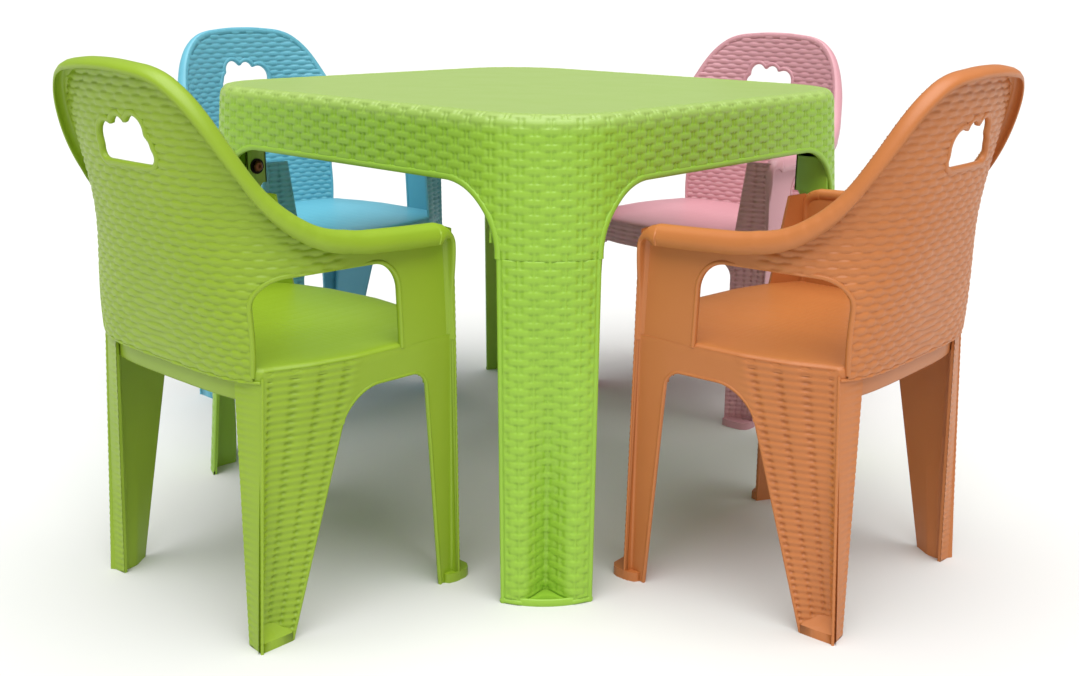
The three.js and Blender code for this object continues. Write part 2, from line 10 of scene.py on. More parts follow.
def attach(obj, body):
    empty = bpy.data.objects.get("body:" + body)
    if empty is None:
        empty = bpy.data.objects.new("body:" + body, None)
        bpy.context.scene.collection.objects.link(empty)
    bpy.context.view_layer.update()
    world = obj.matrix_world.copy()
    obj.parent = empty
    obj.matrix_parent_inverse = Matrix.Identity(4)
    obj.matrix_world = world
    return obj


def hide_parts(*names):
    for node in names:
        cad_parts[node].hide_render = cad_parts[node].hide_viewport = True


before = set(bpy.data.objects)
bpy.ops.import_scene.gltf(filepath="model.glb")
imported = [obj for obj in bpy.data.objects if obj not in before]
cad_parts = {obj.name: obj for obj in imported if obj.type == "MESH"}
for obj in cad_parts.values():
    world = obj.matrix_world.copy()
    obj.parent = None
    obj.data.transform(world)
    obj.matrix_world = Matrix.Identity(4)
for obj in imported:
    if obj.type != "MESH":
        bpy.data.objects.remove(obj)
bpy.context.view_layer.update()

MM = 0.001

# ---- Table sizes ----
TABLE_SIDE = 578.0
TABLE_HEIGHT = 480.0
TABLE_SPLAY = 28.0
CORNER_RADIUS = 100.0
TABLE_WALL = 3.5
TOP_EDGE_INSET = 9.0
TOP_EDGE_DROP = 13.0
APRON_DEPTH = 65.0
ARCH_RADIUS = 70.0
LEG_WIDTH = 75.0
FOOT_WIDTH = 70.0
SCOOP_DEPTH = 27.0
SCOOP_HEIGHT = 330.0
SCOOP_SHARE = 0.6
SEAM = TABLE_HEIGHT - APRON_DEPTH - ARCH_RADIUS
SEAM_GAP = 0.3
TOP_THICKNESS = 4.0
TABLE_STAKES = 36               # stakes round a quarter of the table
TABLE_ROW = 7.3                 # height of one row of the table's weave

# ---- Chair sizes ----
SEAT_HEIGHT = 270.0
SHELL_WALL = 3.5
SHELL_BOTTOM = 257.0
BACK_COLUMN, BACK_ROW = 2.2, 1.18           # spacing of the grid that carries the back's weave
ARM_FRONT = 98.0
ARM_HALF_WIDTH = 147.0
HIP_HALF_WIDTH = 154.0
SHOULDER_HALF_WIDTH = 184.0
BACK_AT_SEAT = -126.0
BACK_AT_TOP = -159.0
BACK_TURN = -30.0
BACK_SQUARENESS = 2.55          # of the shell's plan above the arms
SEAT_SQUARENESS = 3.8           # the same at the seat
BACK_SHARE = 0.62
BACK_HEIGHT = 533.0
ARM_HEIGHT = 376.0
RIM_WIDENS_AT, RIM_WIDENS_OVER = 448, 72    # where the back's rim grows into the arm's, going down
ARM_CORNER = 20.0               # rounding where the arm turns down into its post
POST_WIDTH = 66.0
GAP_REAR = -112.0
GAP_TOP = 351.0
GAP_RADIUS = 28.0
HOLE_BASE = 442.0
HOLE_MIDDLE = (3, 18)           # x, and height above the hole's base
HOLE_BODY = (-29, 36, 20)       # left, right and top of the straight part
HOLE_REACH = 60
HOLE_FROM = -80                 # the hole is cut only behind this Y
HOLE_LOBES = [(39, 9, 9), (35, 17, 10), (25, 30, 14), (1, 29, 13), (-20, 19, 17), (-29, 8, 8)]
LEG_WALL = 3.2
SKIRT_BOTTOM = 237.0
SEAT_EDGE = 266.0               # height at which the walls meet the seat
SEAT_REACH = 150                # inset of the seat's middle from its edge
PANEL_TOP = 268.5
WOVEN_SHARE = 0.47              # of a side panel, from its rear edge
FLANGE_WIDTH, FLANGE_TOP = 22, 260
POST_FOOT, POST_TOP, POST_FRONT_WIDTH = 262, 372, 44
FOOT_LEDGE = 9.0
CHAIR_ROW = 6.8
CHAIR_STAKE = 10.5              # spacing of the stakes in a chair's back
LEG_STAKE = 8.2                 # the same in its legs
CHAIR_DISTANCE = 410.0
CHAIRS = [("lime", 0, 25.0), ("apricot", 1, -30.0), ("rose", 2, 5.0), ("sky", 3, 10.0)]
CORNERS = ["left", "near", "right", "far"]


# ---- Small helpers ----

def linear(hex_colour):
    """sRGB hex colour as the linear RGBA that the shader wants."""
    parts = [int(hex_colour[k:k + 2], 16) / 255 for k in (1, 3, 5)]
    return [c / 12.92 if c <= 0.04045 else ((c + 0.055) / 1.055) ** 2.4 for c in parts] + [1.0]


def mix(a, b, share):
    return a + (b - a) * share


def smooth(share):
    s = np.clip(share, 0, 1)
    return s * s * (3 - 2 * s)


def unit(vectors):
    return vectors / np.maximum(np.linalg.norm(vectors, axis=-1, keepdims=True), 1e-9)


def along(vectors, towards):
    """The vectors, each reversed where it points against `towards`."""
    return vectors * np.where(np.sum(vectors * towards, -1, keepdims=True) < 0, -1, 1)


def quarter_turned(points, quarter):
    for _ in range(quarter):
        points = np.stack([-points[..., 1], points[..., 0], points[..., 2]], -1)
    return points


def eased(stations, where, reach):
    """Straight steps between stations, with their corners rounded over `reach` each way."""
    at, value = np.array(stations, float).T
    shifts = np.linspace(-1, 1, 9) * reach
    return sum(np.interp(where + shift, at, value) for shift in shifts) / len(shifts)


def with_normals(surface, a, b, step=0.4):
    """Points of a surface and its unit normals, worked out from small steps each way."""
    across = surface(a + step, b) - surface(a - step, b)
    upward = surface(a, b + step) - surface(a, b - step)
    return surface(a, b), unit(np.cross(across, upward))


class Skin:
    """Faces of one piece in millimetres, with the weave's coordinates at every vertex.

    `quarter` turns what is added round to a corner of the table; `flip` of -1 mirrors it across a chair.
    """

    def __init__(self, quarter=0):
        self.points, self.outward, self.weave, self.faces = [], [], [], []
        self.count = 0
        self.quarter = quarter
        self.flip = 1

    def placed(self, vectors):
        return quarter_turned(vectors * [self.flip, 1, 1], self.quarter)

    def grid(self, points, outward, weave=None, keep=None, closed=(False, False)):
        """A sheet of quads; weave is (along, up, share of relief) and only quads in keep are made."""
        points, outward = self.placed(points), self.placed(np.broadcast_to(outward, points.shape))
        columns, rows = points.shape[:2]
        index = np.arange(columns * rows).reshape(columns, rows)
        if closed[0]:
            index = np.concatenate([index, index[:1]], 0)
        if closed[1]:
            index = np.concatenate([index, index[:, :1]], 1)
        quads = np.stack([index[:-1, :-1], index[1:, :-1], index[1:, 1:], index[:-1, 1:]], -1)
        quads = quads[keep] if keep is not None else quads.reshape(-1, 4)
        flat, facing = points.reshape(-1, 3), outward.reshape(-1, 3)
        one, two = flat[quads[:, 2]] - flat[quads[:, 0]], flat[quads[:, 3]] - flat[quads[:, 1]]
        if np.sum(np.cross(one, two) * facing[quads[:, 0]]) < 0:
            quads = quads[:, ::-1]
        self.points.append(flat)
        self.outward.append(facing)
        self.weave.append(np.zeros((len(flat), 3)) if weave is None else weave.reshape(-1, 3))
        self.faces.append(quads + self.count)
        self.count += len(flat)

    def cap(self, ring, middle, outward):
        """Closes a ring with a fan round its middle."""
        self.grid(np.stack([ring, np.broadcast_to(middle, ring.shape)], 0), outward, closed=(False, True))

    def sweep(self, path, side, out, profile, closed=False):
        """A closed profile of (side, out) pairs carried along a path, with its ends capped."""
        side, out = np.broadcast_to(side, path.shape), np.broadcast_to(out, path.shape)
        profile = np.asarray(profile, float)
        profile = np.broadcast_to(profile, (len(path),) + profile.shape[-2:])
        rings = path[:, None] + profile[..., :1] * side[:, None] + profile[..., 1:] * out[:, None]
        middle = rings.mean(1, keepdims=True)
        self.grid(rings, rings - middle, closed=(closed, True))
        if not closed:
            for end, away in ((0, path[0] - path[1]), (-1, path[-1] - path[-2])):
                self.cap(rings[end], middle[end], away)

    def mesh(self, name):
        points, outward = np.concatenate(self.points), np.concatenate(self.outward)
        weave, faces = np.concatenate(self.weave), np.concatenate(self.faces)
        used, faces = np.unique(faces, return_inverse=True)
        faces = faces.reshape(-1, 4)
        mesh = bpy.data.meshes.new(name)
        mesh.vertices.add(len(used))
        mesh.vertices.foreach_set("co", (points[used] * MM).astype(np.float32).ravel())
        mesh.loops.add(faces.size)
        mesh.loops.foreach_set("vertex_index", faces.astype(np.int32).ravel())
        mesh.polygons.add(len(faces))
        mesh.polygons.foreach_set("loop_start", np.arange(0, faces.size, 4, dtype=np.int32))
        mesh.update(calc_edges=True)
        facing = mesh.attributes.new("outward", "FLOAT_VECTOR", "POINT")
        facing.data.foreach_set("vector", unit(outward[used]).astype(np.float32).ravel())
        for column, attribute in enumerate(("along", "up", "relief")):
            values = weave[used, column] * (1.0 if attribute == "relief" else MM)
            layer = mesh.attributes.new(attribute, "FLOAT", "POINT")
            layer.data.foreach_set("value", values.astype(np.float32))
        mesh.validate()
        return mesh


def add_node(tree, kind, inputs=(), **settings):
    """Adds a node; inputs pairs a socket with a value or with another node's output."""
    made = tree.nodes.new(kind)
    for name, value in settings.items():
        setattr(made, name, value)
    for socket, value in dict(inputs).items():
        if isinstance(value, bpy.types.NodeSocket):
            tree.links.new(value, made.inputs[socket])
        else:
            made.inputs[socket].default_value = value
    return made


# ---- Plastics and metals ----

def moulded_polypropylene(name, colour, shade, roughness, painted_top_sheen=None):
    """Polypropylene straight from the mould: satin, dyed right through, faintly uneven in gloss.

    Its grain is drawn coarser than usual, so that it shows. The last colour, if given, is painted paler on a
    table's top: a painted sheen and painted light from above.
    """
    material = bpy.data.materials.new(name)
    material.use_nodes = True
    tree = material.node_tree
    shader = tree.nodes["Principled BSDF"]
    place = add_node(tree, "ShaderNodeTexCoord").outputs["Object"]
    flow = add_node(tree, "ShaderNodeTexNoise", {"Vector": place, "Scale": 1 / (60 * MM), "Detail": 2.0})
    grain = add_node(tree, "ShaderNodeTexNoise", {"Vector": place, "Scale": 1 / (1.2 * MM), "Detail": 3.0})
    tint = add_node(tree, "ShaderNodeMix", {0: flow.outputs["Fac"], 6: linear(colour), 7: linear(shade)},
                    data_type="RGBA")
    gloss = add_node(tree, "ShaderNodeMapRange", {0: flow.outputs["Fac"], 3: roughness - 0.05,
                                                  4: roughness + 0.06})
    dimple = add_node(tree, "ShaderNodeBump", {"Height": grain.outputs["Fac"], "Strength": 0.10,
                                               "Distance": 0.25 * MM})
    # Painted sheen and painted top light: the top of the table is blended towards a paler colour by height.
    if painted_top_sheen:
        height = add_node(tree, "ShaderNodeSeparateXYZ", {0: place}).outputs["Z"]
        at_top = add_node(tree, "ShaderNodeMapRange", {0: height, 1: TABLE_HEIGHT * MM * 0.965,
                                                       2: TABLE_HEIGHT * MM * 0.999, 3: 0.0, 4: 1.0})
        tint = add_node(tree, "ShaderNodeMix", {0: at_top.outputs[0], 6: tint.outputs[2], 7: linear(painted_top_sheen)},
                        data_type="RGBA")
    tree.links.new(tint.outputs[2], shader.inputs["Base Color"])
    tree.links.new(gloss.outputs[0], shader.inputs["Roughness"])
    tree.links.new(dimple.outputs["Normal"], shader.inputs["Normal"])
    shader.inputs["IOR"].default_value = 1.49
    return material


def turned_metal(name, colour, shade, roughness):
    """Turned and coated steel: bright, with small patches of another tone."""
    material = bpy.data.materials.new(name)
    material.use_nodes = True
    tree = material.node_tree
    shader = tree.nodes["Principled BSDF"]
    place = add_node(tree, "ShaderNodeTexCoord").outputs["Object"]
    wear = add_node(tree, "ShaderNodeTexNoise", {"Vector": place, "Scale": 1 / (3 * MM), "Detail": 4.0})
    tint = add_node(tree, "ShaderNodeMix", {0: wear.outputs["Fac"], 6: linear(colour), 7: linear(shade)},
                    data_type="RGBA")
    dent = add_node(tree, "ShaderNodeBump", {"Height": wear.outputs["Fac"], "Strength": 0.2,
                                             "Distance": 0.1 * MM})
    tree.links.new(tint.outputs[2], shader.inputs["Base Color"])
    tree.links.new(dent.outputs["Normal"], shader.inputs["Normal"])
    shader.inputs["Metallic"].default_value = 1.0
    shader.inputs["Roughness"].default_value = roughness
    return material


PLASTICS = {
    # The green's last colour is the painted sheen and painted top light on the table's top.
    "green": moulded_polypropylene("polypropylene_leaf_green", "#92BC3A", "#8AB433", 0.42, "#99B45D"),
    "lime": moulded_polypropylene("polypropylene_lime", "#8EAB25", "#86A421", 0.42),
    "apricot": moulded_polypropylene("polypropylene_apricot", "#BF753E", "#B76D37", 0.42),
    "rose": moulded_polypropylene("polypropylene_rose", "#D099A2", "#C9919A", 0.42),
    "sky": moulded_polypropylene("polypropylene_sky", "#69B4C8", "#60ABC0", 0.42),
}
SCREW_METAL = turned_metal("steel_bronzed", "#7A5238", "#5B3A26", 0.38)
WASHER_METAL = turned_metal("steel_blackened", "#2B2622", "#1A1613", 0.5)


# ---- Weave relief, as one Geometry Nodes tree ----

# Each step is a name, a math operation and what goes into it: an input, a name or a number.
WEAVE_STEPS = [
    ("stakes", "DIVIDE", "along", "Stake Spacing"),
    ("level", "DIVIDE", "up", "Row Pitch"),
    ("row", "FLOOR", "level"),
    ("part", "FRACT", "level"),
    ("offset", "SUBTRACT", "part", 0.5),
    ("distance", "ABSOLUTE", "offset"),
    ("shift", "MULTIPLY", "row", "Row Shift"),
    ("turns", "ADD", "stakes", "shift"),
    ("angle", "MULTIPLY", "turns", math.pi),
    ("wave", "COSINE", "angle"),
    ("past_dive", "SUBTRACT", "wave", "Dive Start"),
    ("climb", "DIVIDE", "past_dive", "Dive Length"),
    ("climb_up", "MAXIMUM", "climb", 0.0),
    ("over", "MINIMUM", "climb_up", 1.0),
    ("widening", "MULTIPLY", "over", "Lens"),
    ("half_width", "ADD", "widening", "Narrow"),
    ("from_middle", "DIVIDE", "distance", "half_width"),
    ("edge", "POWER", "from_middle", "Edge"),
    ("crown", "SUBTRACT", 1.0, "edge"),
    ("crown_height", "MULTIPLY", "crown", "Crown"),
    ("under", "SUBTRACT", "over", 1.0),
    ("dip", "MULTIPLY", "under", "Crossing"),
    ("band", "ADD", "crown_height", "dip"),
    ("nearest", "ROUND", "stakes"),
    ("beside", "SUBTRACT", "stakes", "nearest"),
    ("aside", "DIVIDE", "beside", "Stake Width"),
    ("aside_square", "MULTIPLY", "aside", "aside"),
    ("stake_drop", "MULTIPLY", "aside_square", "Crown"),
    ("stake", "SUBTRACT", "Stake Height", "stake_drop"),
    ("woven", "MAXIMUM", "band", "stake"),
    ("floored", "MAXIMUM", "woven", "Groove"),
    ("height", "MULTIPLY", "floored", "relief"),
]
WEAVE_INPUTS = {"Row Pitch": TABLE_ROW * MM, "Stake Spacing": 15 * MM, "Row Shift": 1.0, "Dive Start": -0.86,
                "Dive Length": 0.5, "Narrow": 0.43, "Lens": 0.09, "Edge": 5.0, "Crossing": 1.3 * MM,
                "Crown": 1.0 * MM, "Stake Width": 0.09, "Stake Height": 0.8 * MM, "Groove": -0.8 * MM}


def weave_tree():
    tree = bpy.data.node_groups.new("rattan_weave", "GeometryNodeTree")
    tree.interface.new_socket("Geometry", in_out="INPUT", socket_type="NodeSocketGeometry")
    for name in WEAVE_INPUTS:
        tree.interface.new_socket(name, in_out="INPUT", socket_type="NodeSocketFloat")
    tree.interface.new_socket("Plastic", in_out="INPUT", socket_type="NodeSocketMaterial")
    tree.interface.new_socket("Geometry", in_out="OUTPUT", socket_type="NodeSocketGeometry")
    given = add_node(tree, "NodeGroupInput")
    known = {name: given.outputs[name] for name in WEAVE_INPUTS}
    for name in ("along", "up", "relief"):
        known[name] = add_node(tree, "GeometryNodeInputNamedAttribute", {"Name": name},
                               data_type="FLOAT").outputs["Attribute"]
    for name, operation, *sources in WEAVE_STEPS:
        inputs = {k: known.get(source, source) for k, source in enumerate(sources)}
        known[name] = add_node(tree, "ShaderNodeMath", inputs, operation=operation).outputs[0]
    facing = add_node(tree, "GeometryNodeInputNamedAttribute", {"Name": "outward"}, data_type="FLOAT_VECTOR")
    push = add_node(tree, "ShaderNodeVectorMath", {0: facing.outputs["Attribute"], "Scale": known["height"]},
                    operation="SCALE")
    moved = add_node(tree, "GeometryNodeSetPosition",
                     {"Geometry": given.outputs["Geometry"], "Offset": push.outputs[0]})
    real = add_node(tree, "GeometryNodeRealizeInstances", {0: moved.outputs[0]})
    painted = add_node(tree, "GeometryNodeSetMaterial",
                       {0: real.outputs[0], "Material": given.outputs["Plastic"]})
    add_node(tree, "NodeGroupOutput", {0: painted.outputs[0]})
    return tree


def evaluated_mesh(scratch):
    """The object's mesh after its modifiers, as a plain mesh; the scratch object goes."""
    depsgraph = bpy.context.evaluated_depsgraph_get()
    mesh = bpy.data.meshes.new_from_object(scratch.evaluated_get(depsgraph))
    bpy.data.objects.remove(scratch)
    return mesh


def run_tree(mesh, tree, settings):
    """Runs a Geometry Nodes tree on a mesh; settings go to the inputs of those names."""
    scratch = bpy.data.objects.new(mesh.name, mesh)
    bpy.context.scene.collection.objects.link(scratch)
    modifier = scratch.modifiers.new("shape", "NODES")
    modifier.node_group = tree
    for item in tree.interface.items_tree:
        if item.in_out == "INPUT" and item.name in settings:
            modifier[item.identifier] = settings[item.name]
    return evaluated_mesh(scratch)


WEAVE = weave_tree()


def woven_mesh(skin, name, plastic, **sizes):
    mesh = run_tree(skin.mesh(name), WEAVE, {**WEAVE_INPUTS, "Plastic": plastic, **sizes})
    for attribute in ("along", "up", "relief", "outward"):
        mesh.attributes.remove(mesh.attributes[attribute])
    mesh.polygons.foreach_set("use_smooth", np.ones(len(mesh.polygons), bool))
    mesh.name = name
    return mesh


def piece(name, mesh, body, stands_for=()):
    made = bpy.data.objects.new(name, mesh)
    bpy.context.scene.collection.objects.link(made)
    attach(made, body)
    if stands_for:
        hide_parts(*stands_for)


def edge_frames(surface, a, b):
    """Points along a path on a surface, directions to one side of it, and the surface's normals."""
    points, out = with_normals(surface, a, b)
    return points, unit(np.cross(out, np.gradient(points, axis=0))), out


# ---- Table ----

def table_half(z):
    return TABLE_SIDE / 2 + TABLE_SPLAY * (1 - z / TABLE_HEIGHT)


ARC = CORNER_RADIUS * math.pi / 4
QUARTER = 2 * (ARC + table_half(SEAM) - CORNER_RADIUS)   # run of the wall round one corner
TABLE_STAKE = QUARTER / TABLE_STAKES
WALL_RUN = TABLE_HEIGHT - TOP_EDGE_DROP - SEAM           # upright part above the seam
EDGE_RUN = 18.0                                          # over the rounded edge
TOP_RUN = 26.0                                           # woven rows that fade out on the top
APRON_COLUMNS, APRON_ROWS = 460, 128


def table_section(up):
    """Height and inset of the wall at a distance up it: wall, rounded edge, then the flat top."""
    turn = np.clip((up - WALL_RUN) / EDGE_RUN, 0, 1) * (math.pi / 2)
    z = SEAM + np.minimum(up, WALL_RUN) + TOP_EDGE_DROP * np.sin(turn)
    inset = TOP_EDGE_INSET * (1 - np.cos(turn)) + np.maximum(up - WALL_RUN - EDGE_RUN, 0)
    return z, inset


def wall_point(run, z, inset):
    """A point of the wall round the -X -Y corner; run is 0 on the diagonal, in millimetres."""
    half = table_half(z)
    share = run / (QUARTER / 2)
    reach = share * (ARC + half - CORNER_RADIUS)
    angle = math.pi / 4 + np.clip(reach, -ARC, ARC) / CORNER_RADIUS
    radius = CORNER_RADIUS - inset
    centre = CORNER_RADIUS - half
    x = centre - radius * np.cos(angle) + np.maximum(reach - ARC, 0)
    y = centre - radius * np.sin(angle) + np.maximum(-reach - ARC, 0)
    return np.stack([x, y, z + 0 * x], -1)


def table_surface(run, up):
    z, inset = table_section(up)
    return wall_point(run, z, inset)


ARCH_SIDE = table_half(SEAM) - LEG_WIDTH
ARCH_CROWN = SEAM + ARCH_RADIUS


def in_arch(points):
    """Whether points lie in the opening of the side they face."""
    across = np.where(np.abs(points[..., 1]) > np.abs(points[..., 0]), points[..., 0], points[..., 1])
    beyond = np.maximum(np.abs(across) - (ARCH_SIDE - ARCH_RADIUS), 0)
    above = points[..., 2] - SEAM
    return (points[..., 2] < ARCH_CROWN) & (beyond < ARCH_RADIUS) & (np.hypot(beyond, above) < ARCH_RADIUS)


def run_at_side(x, z):
    """The run at which the wall on the -Y side reaches x, for the -X -Y corner."""
    runs = np.linspace(0, QUARTER / 2, 2000)
    found = []
    for at, height in zip(x, z):
        found.append(np.interp(at, wall_point(runs, np.full(len(runs), height), 0.0)[:, 0], runs))
    return np.array(found)


SPIGOT_X, SPIGOT_Y = (-278.8, -250.8), (-236.9, -213.9)    # in the -X -Y corner
SPIGOT_TOP = 401.0
SPIGOT_ROOT, ROOT_OFFSET, SLIM_WIDTH = 300.0, 8.0, 11.5    # where the post grows out of the leg
SOCKET_MOUTH = SEAM + 14
SOCKET_GAP = 0.3
SOCKET_WALL = 3.0


def upright_block(skin, levels):
    """A block with its upright edges trimmed, through rectangles (z, x0, x1, y0, y1)."""
    trim = 0.7
    rings = []
    for z, x0, x1, y0, y1 in levels:
        rings.append([(x0 + trim, y0, z), (x1 - trim, y0, z), (x1, y0 + trim, z), (x1, y1 - trim, z),
                      (x1 - trim, y1, z), (x0 + trim, y1, z), (x0, y1 - trim, z), (x0, y0 + trim, z)])
    rings = np.array(rings)
    middle = rings.mean(1, keepdims=True)
    skin.grid(rings, rings - middle, closed=(False, True))
    skin.cap(rings[0], middle[0], [0, 0, -1.0])
    skin.cap(rings[-1], middle[-1], [0, 0, 1.0])


def inside_wall(y, z):
    """X of the middle of the table's wall in the -X -Y corner, where it passes a given y."""
    from_corner = np.clip(table_half(z) + y, 0, CORNER_RADIUS)
    bow = CORNER_RADIUS - math.sqrt(CORNER_RADIUS ** 2 - (CORNER_RADIUS - from_corner) ** 2)
    return bow - table_half(z) + TABLE_WALL / 2 + 0.5


def socket(skin):
    """Three walls that hang from the top round a leg's spigot, and the block above it."""
    ceiling = TABLE_HEIGHT - 6
    inner = SPIGOT_X[1] + SOCKET_GAP + SOCKET_WALL
    near, far = SPIGOT_Y[0] - SOCKET_GAP - SOCKET_WALL, SPIGOT_Y[1] + SOCKET_GAP + SOCKET_WALL
    for y0, y1, low in ((near, near + SOCKET_WALL, SOCKET_MOUTH), (far - SOCKET_WALL, far, SOCKET_MOUTH),
                        (near, far, SPIGOT_TOP + SOCKET_GAP)):
        upright_block(skin, [(z, inside_wall(y0, z), inner, y0, y1) for z in (low, ceiling)])
    upright_block(skin, [(z, inner - SOCKET_WALL, inner, near, far) for z in (SOCKET_MOUTH, ceiling)])


def spigot(skin):
    """The post that rises from the leg into its socket."""
    outer, root, slim = SPIGOT_X[0], SPIGOT_X[0] - ROOT_OFFSET, SPIGOT_Y[0] + SLIM_WIDTH
    upright_block(skin, [
        (SPIGOT_ROOT, root, SPIGOT_X[1], SPIGOT_Y[0], slim), (SEAM - 1, root, SPIGOT_X[1], SPIGOT_Y[0], slim),
        (SEAM, outer, SPIGOT_X[1], SPIGOT_Y[0], slim), (SOCKET_MOUTH - 1, outer, SPIGOT_X[1], *SPIGOT_Y),
        (SPIGOT_TOP, outer, SPIGOT_X[1], *SPIGOT_Y)])


# Sections of beads, here and below, are (aside, out) from the line that they follow.
EDGE_RIM = [(-1.2, -TABLE_WALL), (-1.7, -2.0), (-1.6, 0.4), (-0.6, 1.3), (1.2, 1.7), (3.0, 1.6),
            (4.3, 1.0), (4.9, 0.0), (4.9, -1.4), (3.0, -TABLE_WALL - 0.3), (0.6, -TABLE_WALL - 0.5)]


def apron_skin(quarter):
    skin = Skin(quarter)
    runs = np.linspace(-QUARTER / 2, QUARTER / 2, APRON_COLUMNS)
    ups = np.linspace(0, WALL_RUN + EDGE_RUN + TOP_RUN, APRON_ROWS)
    run, up = np.meshgrid(runs, ups, indexing="ij")
    points, out = with_normals(table_surface, run, up)
    fade = 1 - smooth((up - WALL_RUN - EDGE_RUN + 3) / (TOP_RUN - 2))
    middle = (points[:-1, :-1] + points[1:, 1:]) / 2
    skin.grid(points, along(out, [-1, -1, 0.5]), np.stack([run, up, fade], -1), ~in_arch(middle))
    inner_runs, inner_ups = np.linspace(-QUARTER / 2, QUARTER / 2, 118), np.arange(0, WALL_RUN + 2, 2.6)
    run, up = np.meshgrid(inner_runs, inner_ups, indexing="ij")
    inside = wall_point(run, SEAM + up, TABLE_WALL)
    middle = (inside[:-1, :-1] + inside[1:, 1:]) / 2
    skin.grid(inside, [1.0, 1.0, 0.0], None, ~in_arch(middle))
    turn = np.linspace(0, math.pi / 2, 40)
    beam = np.linspace(ARCH_SIDE - ARCH_RADIUS, 0, 40)[1:]
    x = -np.concatenate([ARCH_SIDE - ARCH_RADIUS * (1 - np.cos(turn)), beam])
    z = np.concatenate([SEAM + ARCH_RADIUS * np.sin(turn), np.full(len(beam), ARCH_CROWN)])
    run = run_at_side(x, z)
    for mirror in (1, -1):
        path, side, out = edge_frames(table_surface, mirror * run, z - SEAM)
        away = path - np.array([0, 0, SEAM - 60.0])
        away = np.where(np.arange(3) == (1 if mirror > 0 else 0), 0, away)
        skin.sweep(path, along(side, away), along(out, [-1, -1, 0]), EDGE_RIM)
    socket(skin)
    return skin


def top_skin():
    """The smooth flat top inside the woven rows, and its underside."""
    skin = Skin()
    runs = np.linspace(-QUARTER / 2, QUARTER / 2, APRON_COLUMNS)[:-1]
    ring = table_surface(runs, np.full(len(runs), WALL_RUN + EDGE_RUN + TOP_RUN))
    ring = np.concatenate([quarter_turned(ring, quarter) for quarter in range(4)])
    for drop, facing, reach in ((0, 1.0, 1.0), (TOP_THICKNESS, -1.0, 1.09)):
        scales = np.array([reach, 0.7, 0.35, 0.0])
        rings = ring[None] * np.stack([scales, scales, 0 * scales + 1], -1)[:, None]
        skin.grid(rings - [0, 0, drop], [0, 0, facing], closed=(False, True))
    return skin


def scoop(share, z):
    across = np.where(np.abs(share) < SCOOP_SHARE, np.cos(share / SCOOP_SHARE * math.pi / 2) ** 2, 0)
    return SCOOP_DEPTH * across * smooth(1 - z / SCOOP_HEIGHT)


def foot_point(share, z, inset):
    edge = np.arcsin((CORNER_RADIUS - mix(FOOT_WIDTH, LEG_WIDTH, z / SEAM)) / CORNER_RADIUS)
    angle = mix(edge, math.pi / 2 - edge, share)
    centre, radius = CORNER_RADIUS - table_half(z), CORNER_RADIUS - inset
    return np.stack([centre - radius * np.cos(angle), centre - radius * np.sin(angle), z + 0 * angle], -1)


def leg_point(share, z, inset):
    return foot_point(share, z, inset + scoop(share * 2 - 1, z))


LEG_RUN = 106.0                 # width of a leg round its corner
# Smooth rim of a leg: distance in from its edge, and height.
RIM_STEPS = [(0.0, -0.9), (0.5, 0.3), (1.4, 0.9), (2.8, 1.1), (4.1, 0.8), (4.8, 0.1), (5.2, -0.7)]


RIM_WIDTH, RIM_FLOOR = RIM_STEPS[-1]
WOVEN_FROM = 6.2                # distance from an edge at which the weave's own grid starts
PLATE_HALF = SCOOP_SHARE / 1.9  # half the foot plate's width: a little more than the scoop's
# The plate that closes the foot: inset and height, from its lower edge over its front and inwards.
PLATE_SECTION = [(0.4, 0.0), (0.0, 1.0), (0.0, 6.2), (0.8, 7.4), (2.2, 7.4), (3.0, 6.4), (3.2, 5.2)]
PLATE_HEIGHT = 5.2


